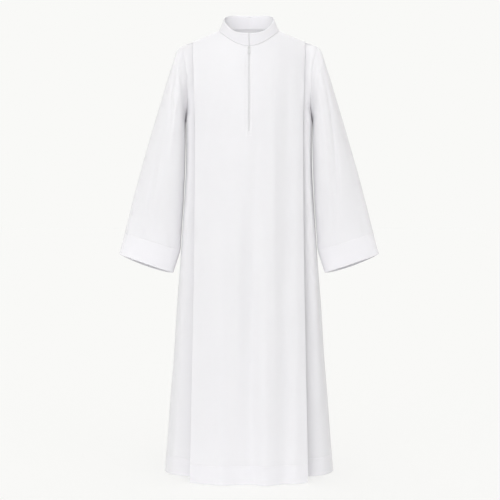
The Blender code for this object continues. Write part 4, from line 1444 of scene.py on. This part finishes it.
@dataclass
class Zip:
    """The zip behind the slit: two tapes, and the coil that joins them."""

    form: type[RobeForm]
    stitch_x: float = 0.0088
    stitch_end: float = -0.3395
    stitch_top_gap: float = 0.002
    stitch_points: tuple[int, int] = (160, 10)
    edge: float = 0.0010
    width: float = 0.011
    thickness: float = 0.0010
    rows: int = 90
    columns: int = 8
    cut: Cut = Cut(0.0125, 0.29, 0.0034)
    coil_top: float = -0.0745
    coil_depth: float = 0.0020
    coil_tail: float = 0.001
    tooth_pitch: float = 0.00105
    tooth_reach: float = 0.0019
    tooth_overlap: float = 0.0006
    teeth: Beads = Beads(0.00047, (0.75, 1.0, 1.0, 1.1, 0.8), (0.0, 0.0, 0.0, 0.0, 0.0))

    def surface(self, x: np.ndarray, share: np.ndarray, side: Side) -> np.ndarray:
        """The front panel's points at x, a share of the way down from the neck seam to the zip's end.

        Args:
            x: Distances from the centre line.
            share: The share of the way down.
            side: The wearer's side.

        Returns:
            The points.
        """
        form = self.form
        top = form.neck_height(np.arcsin(x / form.NECK_HALF_WIDTH))
        z = lerp(top, form.ZIP_END_Z, share)
        return np.stack([np.broadcast_to(x, z.shape), form.panel_y(side * x, z, Face.FRONT), z], axis=-1)

    def build(self, side: Side, material: bpy.types.Material) -> bpy.types.Object:
        """A tape: the panel's own surface beside the slit, moved in past the cloth.

        Args:
            side: The wearer's side.
            material: The tape's weave.

        Returns:
            The new object.
        """
        x = np.linspace(self.edge, self.edge + self.width, self.columns + 1)[None, :]
        points = self.surface(x, np.linspace(0, 1, self.rows + 1)[:, None], side)
        normals = unit(grid_normals(points, Face.FRONT) * (0, 1, 1))
        points = (points - normals * (self.form.CLOTH + SEAM_GAP)) * (side, 1, 1)
        thickness = np.full(self.rows + 1, self.thickness)
        grid = ClothGrid(points, normals, thickness, np.zeros((1, 1)))
        tape = MeshWriter.cloth_object(f"tape_{side.word}", grid)
        dressed(tape, material, Body.ROBE, (f"zip_tape_{side.word}",))
        return tape

    def face_point(self, x: np.ndarray, z: np.ndarray) -> np.ndarray:
        """A point of the front panel's own surface."""
        return np.stack([x, self.form.panel_y(x, z, Face.FRONT), z], axis=-1)

    def stitch_row(self) -> Path:
        """The topstitching: down one side of the zip, across under its end, and up the other side."""
        along, across = self.stitch_points
        neck = self.form.neck_height(np.arcsin(self.stitch_x / self.form.NECK_HALF_WIDTH))
        down = np.linspace(neck - self.stitch_top_gap, self.stitch_end, along)
        over = np.linspace(self.stitch_x, -self.stitch_x, across + 2)[1:-1]
        x = np.concatenate([np.full(along, self.stitch_x), over, np.full(along, -self.stitch_x)])
        z = np.concatenate([down, np.full(across, self.stitch_end), down[::-1]])
        points, normals = lifted(self.face_point, x, z, 1)
        return points + normals * (self.form.PLACKET_HEIGHT * self.form.placket(x, z))[:, None], normals

    def coil(self) -> Shapes:
        """The closed coil below the slider: teeth that reach past the middle from each side in turn."""
        z = np.arange(self.coil_top, self.form.ZIP_END_Z + self.coil_tail, -self.tooth_pitch)
        side = np.where(np.arange(len(z)) % 2, 1.0, -1.0)
        centre, normals = lifted(self.face_point, np.zeros(len(z)), z, 1)
        centre = centre - normals * self.coil_depth
        reach = np.linspace(-self.tooth_reach, self.tooth_overlap, len(self.teeth.swell))
        place = np.repeat(centre[:, None], len(reach), axis=1)
        place[..., 0] = side[:, None] * -reach
        shapes = Shapes()
        shapes.add(*self.teeth.build(place, np.repeat(normals[:, None], len(reach), axis=1)))
        return shapes


@dataclass(frozen=True)
class Plate:
    """A rounded plate of the slider: its half sizes, its outline's power, its depth and half thickness."""

    half_width: float
    half_height: float
    power: float
    depth: float
    half_thickness: float


@dataclass
class Slider:
    """The zip's slider and its drop-shaped pull, in a frame that lies on the cloth at the slider."""

    form: type[RobeForm]
    place_z: float = -0.0675
    slope_step: float = 0.004
    bail_height: float = 0.0022
    bail_radius: float = 0.00155
    bail_tube: tuple[float, float] = (0.00045, 0.0004)
    bail_tube_around: int = 12
    bevel: float = 0.00018
    plates: tuple[Plate, ...] = (
        Plate(0.0036, 0.0060, 3.0, -0.00105, 0.00035),
        Plate(0.0034, 0.0052, 3.0, 0.0033, 0.0005),
        Plate(0.0005, 0.0016, 4.0, 0.0013, 0.0022),
    )
    pull_half_thickness: float = 0.0006
    pull_length: float = 0.022
    pull_top: float = 0.0022
    pull_wide: float = 0.0034
    window: tuple[float, float] = (0.0012, 0.0026)
    around: int = 48

    @property
    def slope(self) -> float:
        """The cloth's lean at the slider: the angle from upright, from two heights on the panel."""
        steps = (-self.slope_step, self.slope_step)
        low, high = (float(self.form.panel_y(0.0, self.place_z + step, Face.FRONT)) for step in steps)
        return math.atan2(high - low, 2 * self.slope_step)

    def placed(self, points: np.ndarray, forward: float = 0.0) -> np.ndarray:
        """Points of the slider's frame in the robe's: moved forward, leant back, and set on the cloth.

        Args:
            points: Points of the slider's frame, in any shape that ends in 3.
            forward: How far they move to the front.

        Returns:
            The points as (count, 3).
        """
        cos, sin = math.cos(self.slope), math.sin(self.slope)
        turned = points.reshape(-1, 3) - (0, forward, 0)
        turned = turned @ np.array([[1, 0, 0], [0, cos, sin], [0, -sin, cos]]).T
        return turned + (0, float(self.form.panel_y(0.0, self.place_z, Face.FRONT)), self.place_z)

    def outline(self, half_width: float, half_height: float, power: float) -> np.ndarray:
        """A rounded oblong as (x, z): the curve |x/a|^n + |z/b|^n = 1.

        Args:
            half_width: a.
            half_height: b.
            power: n.

        Returns:
            The points as (count, 2).
        """
        turns = np.arange(self.around) * 2 * np.pi / self.around
        cos, sin = np.cos(turns), np.sin(turns)
        x = half_width * np.sign(cos) * np.abs(cos) ** (2 / power)
        return np.stack([x, half_height * np.sign(sin) * np.abs(sin) ** (2 / power)], axis=-1)

    def levels(self, half_thickness: float) -> tuple[tuple[float, float], ...]:
        """A plate's loops through its thickness: how far each is drawn in, and its depth."""
        edge = half_thickness - self.bevel
        return (self.bevel, -half_thickness), (0.0, -edge), (0.0, edge), (self.bevel, half_thickness)

    def body(self) -> bpy.types.Object:
        """The slider: plates before and behind the tapes, the web that joins them, and a round bail."""
        shapes = Shapes()
        for plate in self.plates:
            loops = []
            for inset, level in self.levels(plate.half_thickness):
                loop = self.outline(plate.half_width - inset, plate.half_height - inset, plate.power)
                depth = np.full(len(loop), plate.depth + level)
                loops.append(np.stack([loop[:, 0], depth, loop[:, 1]], axis=-1))
            shapes.add(self.placed(np.array(loops)), MeshWriter.tube_quads(len(loops), self.around))
        turn = np.arange(self.around)[:, None] * 2 * np.pi / self.around
        tube = np.arange(self.bail_tube_around)[None, :] * 2 * np.pi / self.bail_tube_around
        radius = self.bail_radius + self.bail_tube[0] * np.cos(tube)
        side = np.broadcast_to(self.bail_tube[1] * np.sin(tube), (self.around, self.bail_tube_around))
        ring = np.stack([side, radius * np.cos(turn) - self.bail_height, radius * np.sin(turn)], axis=-1)
        shapes.add(self.placed(ring), MeshWriter.tube_quads(self.around, self.bail_tube_around, ring=True))
        return shapes.piece("slider_body")

    def pull(self) -> bpy.types.Object:
        """The pull: a bevelled drop with a window, whose top bar lies in the bail.

        Both outlines have as many points, a quarter of them on each side. The drop's sides spread in a
        straight line from its flat top to the half circle at its end.
        """
        count = self.around // 4
        run = np.arange(count) / count
        top, middle = self.pull_half_thickness, self.pull_wide - self.pull_length
        sides = [
            (lerp(-self.pull_top, self.pull_top, run), np.full(count, top)),
            (lerp(self.pull_top, self.pull_wide, run), lerp(top, middle, run)),
            (self.pull_wide * np.cos(np.pi * run), middle - self.pull_wide * np.sin(np.pi * run)),
            (lerp(-self.pull_wide, -self.pull_top, run), lerp(middle, top, run)),
        ]
        outer = np.concatenate([np.stack(side, axis=-1) for side in sides])
        wide, tall = self.window[0], self.window[1] / 2
        edge, one = 2 * run - 1, np.ones(count)
        square = [(edge, one), (one, -edge), (-edge, -one), (-one, edge)]
        window = np.concatenate([np.stack(side, axis=-1) for side in square])
        window = window * (wide, tall) + (0, -top - tall)
        loops = []
        for loop, towards in ((outer, 1.0), (window, -1.0)):
            ahead = np.roll(loop, -1, axis=0) - np.roll(loop, 1, axis=0)
            inward = unit(np.stack([ahead[:, 1], -ahead[:, 0]], axis=-1)) * towards
            for inset, level in self.levels(self.pull_half_thickness)[:: int(towards)]:
                moved = loop + inward * inset
                loops.append(np.stack([moved[:, 0], np.full(len(loop), level), moved[:, 1]], axis=-1))
        shapes = Shapes()
        quads = MeshWriter.tube_quads(len(loops), self.around, ring=True)
        shapes.add(self.placed(np.array(loops), self.bail_height), quads)
        return shapes.piece("pull_drop")


class NodeTree:
    """A short way to add and join the nodes of a material or of the studio's air."""

    def __init__(self, owner: bpy.types.Material | bpy.types.World) -> None:
        """Turns the owner's nodes on."""
        owner.use_nodes = True
        self.owner = owner
        self.nodes = owner.node_tree.nodes
        self.links = owner.node_tree.links

    def feed(self, entry: bpy.types.NodeSocket, value: object) -> None:
        """Links a socket to an entry, or sets any other value on it."""
        if isinstance(value, bpy.types.NodeSocket):
            self.links.new(value, entry)
        else:
            entry.default_value = value

    def add(self, kind: str, **values: object) -> bpy.types.Node:
        """A new node.

        Args:
            kind: Its type.
            values: What to set on the node where it has that name, and otherwise to feed to that socket.

        Returns:
            The node.
        """
        node = self.nodes.new(kind)
        for name, value in values.items():
            if hasattr(node, name):
                setattr(node, name, value)
            else:
                self.feed(node.inputs[name], value)
        return node

    def mix(self, share: object, first: object, second: object) -> bpy.types.NodeSocket:
        """The output of a colour Mix node between two colours or sockets.

        Args:
            share: A socket that gives the second one's share.
            first: A colour or a socket.
            second: A colour or a socket.

        Returns:
            The mixed colour's socket.
        """
        node = self.add("ShaderNodeMix", data_type="RGBA")
        self.feed(node.inputs[0], share)
        entries = [socket for socket in node.inputs if socket.type == "RGBA"]
        for entry, value in zip(entries, (first, second)):
            self.feed(entry, (*value, 1) if isinstance(value, tuple) else value)
        return next(socket for socket in node.outputs if socket.type == "RGBA")

    def maths(self, operation: str, first: object, second: object = 0.0) -> bpy.types.NodeSocket:
        """The output of a Math node on one or two numbers or sockets.

        Args:
            operation: What the node does.
            first: A number or a socket.
            second: A number or a socket.

        Returns:
            The result's socket.
        """
        node = self.add("ShaderNodeMath", operation=operation)
        self.feed(node.inputs[0], first)
        self.feed(node.inputs[1], second)
        return node.outputs["Value"]

    def finish(self, values: dict[str, object], node: str = SHADER) -> bpy.types.Material | bpy.types.World:
        """Feeds values to the sockets of the last node before the output, and gives the tree's owner.

        Args:
            values: A socket or a value for each entry by its name.
            node: That node's name.

        Returns:
            The owner.
        """
        for name, value in values.items():
            self.feed(self.nodes[node].inputs[name], value)
        return self.owner


@dataclass(frozen=True)
class ClothFinish:
    """Matt white plain-weave cloth: two crossed sets of threads, slubs, and slow changes of shade."""

    colour: Colour = (0.700, 0.694, 0.717)
    shade: Colour = (0.685, 0.679, 0.703)
    # On the collar this colour is painted light on the inside face and the edges.
    double: Colour = (0.702, 0.696, 0.719)
    through: float = 1.0
    through_colour: Colour = (1.0, 1.0, 1.0)
    through_depth: float = 0.003
    roughness: float = 0.86
    specular: float = 0.2
    sheen: float = 0.06
    sheen_roughness: float = 0.5
    thread_pitch: float = 0.00042
    weave_depth: float = 0.00006
    weave_strength: float = 0.6
    slub_fine: float = 2600.0
    slub_long: float = 60.0
    slub_detail: float = 2.0
    slub_height: float = 0.6
    slub_share: float = 0.2
    slow_scale: float = 9.0
    slow_detail: float = 3.0
    slow_share: float = 0.6

    def thread(self, tree: NodeTree, weave: bpy.types.NodeSocket, direction: str) -> bpy.types.NodeSocket:
        """A sine wave along one of the cloth's coordinates, as long as two threads."""
        scale = math.pi / (WAVE_TURN * self.thread_pitch)
        values = {"bands_direction": direction, "wave_profile": "SIN", "Scale": scale, "Distortion": 0.0}
        return tree.add("ShaderNodeTexWave", Vector=weave, **values).outputs["Fac"]

    def slub(self, tree: NodeTree, weave: bpy.types.NodeSocket, stretch: Colour) -> bpy.types.NodeSocket:
        """Noise that is drawn out along one set of threads."""
        drawn = tree.add("ShaderNodeMapping", Scale=stretch, Vector=weave).outputs["Vector"]
        return tree.add("ShaderNodeTexNoise", Scale=1.0, Detail=self.slub_detail, Vector=drawn).outputs["Fac"]

    def make(self, name: str) -> bpy.types.Material:
        """The material.

        Its relief is the product of the two sets of threads, plus a share of the slubs' sum. The slubs and
        slow noise on the object's coordinates mix the two colours, and double cloth has a third, which on the
        collar is painted light on its inside face and edges.

        Args:
            name: The material's name.

        Returns:
            The new material.
        """
        tree = NodeTree(bpy.data.materials.new(name))
        weave = tree.add("ShaderNodeUVMap", uv_map=MeshWriter.WEAVE_MAP).outputs["UV"]
        threads = tree.maths("MULTIPLY", *(self.thread(tree, weave, direction) for direction in "XY"))
        stretches = ((self.slub_fine, self.slub_long, 1.0), (self.slub_long, self.slub_fine, 1.0))
        slubs = tree.maths("ADD", *(self.slub(tree, weave, stretch) for stretch in stretches))
        relief = tree.maths("ADD", threads, tree.maths("MULTIPLY", slubs, self.slub_height))
        depth = {"Distance": self.weave_depth, "Strength": self.weave_strength}
        bump = tree.add("ShaderNodeBump", Height=relief, **depth)
        place = tree.add("ShaderNodeTexCoord").outputs["Object"]
        slow = tree.add("ShaderNodeTexNoise", Scale=self.slow_scale, Detail=self.slow_detail, Vector=place)
        slow_part = tree.maths("MULTIPLY", slow.outputs["Fac"], self.slow_share)
        share = tree.maths("ADD", slow_part, tree.maths("MULTIPLY", slubs, self.slub_share))
        double_or_lit = tree.add("ShaderNodeAttribute", attribute_name=MeshWriter.DOUBLE_OR_LIT_MAP).outputs["Fac"]
        return tree.finish(
            {
                "Base Color": tree.mix(double_or_lit, tree.mix(share, self.shade, self.colour), self.double),
                "Normal": bump.outputs["Normal"],
                "Subsurface Weight": self.through,
                "Subsurface Radius": self.through_colour,
                "Subsurface Scale": self.through_depth,
                "Roughness": self.roughness,
                "Sheen Weight": self.sheen,
                "Sheen Roughness": self.sheen_roughness,
                "Specular IOR Level": self.specular,
            }
        )


@dataclass(frozen=True)
class PlainFinish:
    """A pale finish with fine grain: colour, roughness, the grain's size, depth and shade, and a coat."""

    colour: Colour
    roughness: float
    grain: float = 900.0
    depth: float = 0.00003
    coat: float = 0.0
    shade: float = 0.95

    def make(self, name: str) -> bpy.types.Material:
        """The material: noise on the object's own coordinates moves the colour and the bump a little.

        Args:
            name: The material's name.

        Returns:
            The new material.
        """
        tree = NodeTree(bpy.data.materials.new(name))
        place = tree.add("ShaderNodeTexCoord").outputs["Object"]
        noise = tree.add("ShaderNodeTexNoise", Scale=self.grain, Vector=place).outputs["Fac"]
        ramp = tree.add("ShaderNodeValToRGB", Fac=noise)
        ramp.color_ramp.elements[0].color = (*(self.shade * part for part in self.colour), 1)
        ramp.color_ramp.elements[1].color = (*self.colour, 1)
        bump = tree.add("ShaderNodeBump", Distance=self.depth, Height=noise)
        return tree.finish(
            {
                "Base Color": ramp.outputs["Color"],
                "Normal": bump.outputs["Normal"],
                "Roughness": self.roughness,
                "Coat Weight": self.coat,
            }
        )


@dataclass(frozen=True)
class Lamp:
    """A large soft lamp: where it stands as seen from the chest, in degrees, 0 being straight in front.

    Its strength is the light that reaches the chest, and its distance and width are in metres.
    """

    name: str
    azimuth: float
    elevation: float
    strength: float
    distance: float
    width: float

    @property
    def towards(self) -> Vector:
        """The direction in which the lamp stands."""
        azimuth, elevation = math.radians(self.azimuth), math.radians(self.elevation)
        level = math.cos(elevation)
        return Vector((math.sin(azimuth) * level, -math.cos(azimuth) * level, math.sin(elevation)))


@dataclass(frozen=True)
class Studio:
    """A pale seamless studio: a dome of light with a dark flag at each side, two lamps, a floor, a camera."""

    camera_place: tuple[float, float, float] = (0.0031, -3.279, -0.584)
    camera_pitch: float = -0.03355
    lens: float = 74.0
    sensor_width: float = 36.0
    camera_reach: float = 500.0
    air: Colour = (0.947, 0.947, 0.930)
    flag: float = 0.35
    flag_span: tuple[float, float] = (0.68, 0.92)
    chest: Vector = Vector((0, 0, -0.3))
    lamps: tuple[Lamp, ...] = (
        Lamp("key", azimuth=-9, elevation=15, strength=1.77, distance=5.5, width=3.4),
        Lamp("back_fill", azimuth=165, elevation=42, strength=1.15, distance=7.0, width=4.0),
    )
    floor_z: float = -1.4015
    floor_reach: float = 60.0
    floor_white: Colour = (0.5, 0.5, 0.5)
    floor_glow: float = 0.535

    def dome(self) -> None:
        """The dome: the air's colour, and from one share of the way aside to another a darker flag."""
        tree = NodeTree(bpy.data.worlds.new("studio_air"))
        place = tree.add("ShaderNodeTexCoord").outputs["Generated"]
        aside = tree.maths("ABSOLUTE", tree.add("ShaderNodeSeparateXYZ", Vector=place).outputs["X"])
        span = dict(zip(("From Min", "From Max"), self.flag_span))
        share = tree.add("ShaderNodeMapRange", Value=aside, **span).outputs["Result"]
        dark = tuple(self.flag * part for part in self.air)
        bpy.context.scene.world = tree.finish({"Color": tree.mix(share, self.air, dark)}, "Background")

    def light(self, floor: bpy.types.Object) -> None:
        """The two soft lamps, which the camera doesn't see and which light everything but the floor.

        Args:
            floor: The floor.
        """
        unlit = bpy.data.collections.new("not_lit_by_lamps")
        unlit.objects.link(floor)
        unlit.collection_objects[0].light_linking.link_state = "EXCLUDE"
        for lamp in self.lamps:
            light = bpy.data.lights.new(lamp.name, "AREA")
            light.shape = "DISK"
            light.size = lamp.width
            light.energy = lamp.strength * math.pi * lamp.distance**2
            piece = bpy.data.objects.new(lamp.name, light)
            piece.visible_camera = False
            piece.location = self.chest + lamp.towards * lamp.distance
            piece.rotation_euler = lamp.towards.to_track_quat("Z", "Y").to_euler()
            piece.light_linking.receiver_collection = unlit
            bpy.context.scene.collection.objects.link(piece)

    def floor(self) -> bpy.types.Object:
        """A wide floor as pale as the air above it."""
        square = ((-1, -1), (1, -1), (1, 1), (-1, 1))
        corners = [(x * self.floor_reach, y * self.floor_reach, self.floor_z) for x, y in square]
        mesh = bpy.data.meshes.new("floor")
        mesh.from_pydata(corners, [], [(0, 1, 2, 3)])
        paint = {
            "Base Color": (*self.floor_white, 1),
            "Emission Color": (*self.air, 1),
            "Emission Strength": self.floor_glow,
            "Roughness": 1.0,
            "Specular IOR Level": 0.0,
        }
        mesh.materials.append(NodeTree(bpy.data.materials.new("floor_paint")).finish(paint))
        floor = bpy.data.objects.new("floor", mesh)
        bpy.context.scene.collection.objects.link(floor)
        return floor

    def camera(self) -> None:
        """A level-shot camera, tipped down a little."""
        lens = bpy.data.cameras.new("camera")
        lens.lens = self.lens
        lens.sensor_width = self.sensor_width
        lens.clip_end = self.camera_reach
        camera = bpy.data.objects.new("camera", lens)
        camera.location = self.camera_place
        camera.rotation_euler = (math.pi / 2 + self.camera_pitch, 0, 0)
        bpy.context.scene.collection.objects.link(camera)
        bpy.context.scene.camera = camera

    def build(self) -> None:
        """The whole studio."""
        bpy.context.scene.view_settings.view_transform = "Standard"
        self.dome()
        self.light(self.floor())
        self.camera()


def main() -> None:
    """Loads the frame, and builds the studio and every piece."""
    logging.basicConfig(level=logging.INFO, format="%(message)s")
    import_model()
    form = RobeForm
    work = PanelWork(form)
    Studio().build()
    cloth = ClothFinish().make("white_plain_weave")
    # The collar's finish: outside, a colour darker than the robe's cloth, painted shade; inside and on the
    # edges, a lighter one, painted light.
    collar_light_and_shade_finish = ClothFinish(
        colour=(0.648, 0.642, 0.664), shade=(0.638, 0.632, 0.654), double=(0.725, 0.719, 0.742)
    )
    collar_light_and_shade_cloth = collar_light_and_shade_finish.make("white_stiffened_weave")
    thread = PlainFinish((0.88, 0.875, 0.90), roughness=0.7).make("white_thread")
    tape = PlainFinish((0.70, 0.70, 0.72), roughness=0.75).make("white_zip_tape")
    # The white coil is painted dark grey, a painted shadow for the dark gap of the slit.
    coil_painted_shadow = PlainFinish((0.22, 0.22, 0.23), roughness=0.4, grain=400.0, depth=0.00001).make("white_nylon_painted_shadow")
    # The white slider and pull are painted grey, darker than the cloth: painted shade for the shadows that
    # outline them.
    enamel_painted_shade_finish = PlainFinish((0.56, 0.56, 0.57), roughness=0.3, grain=300.0, depth=0.00001, coat=0.4)
    enamel_painted_shade = enamel_painted_shade_finish.make("white_enamel")
    panels = Panels(work)
    sides = SidePieces(work)
    sleeves = Sleeves(form)
    collar = Collar(form)
    zipper = Zip(form)
    for face in Face:
        panels.build(face, cloth)
        for side in Side:
            sides.build(face, side, panels.halves[face, side], cloth)
    for side in Side:
        sleeves.build(side, cloth)
        collar.build(side, collar_light_and_shade_cloth)
        zipper.build(side, tape)
    threads = {
        "thread_hem": panels.hem_rows + sides.hem_rows,
        "thread_cuffs": sleeves.cuff_rows,
        "thread_zip": [zipper.stitch_row()],
        "thread_collar": collar.stitch_rows,
    }
    for name, rows in threads.items():
        dressed(Stitching().piece(name, rows), thread, Body.ROBE)
    dressed(zipper.coil().piece("zip_coil"), coil_painted_shadow, Body.ROBE)
    slider = Slider(form)
    dressed(slider.body(), enamel_painted_shade, Body.ROBE, ("zip_slider",))
    dressed(slider.pull(), enamel_painted_shade, Body.PULL, ("zip_pull",))


if __name__ == "__main__":
    main()
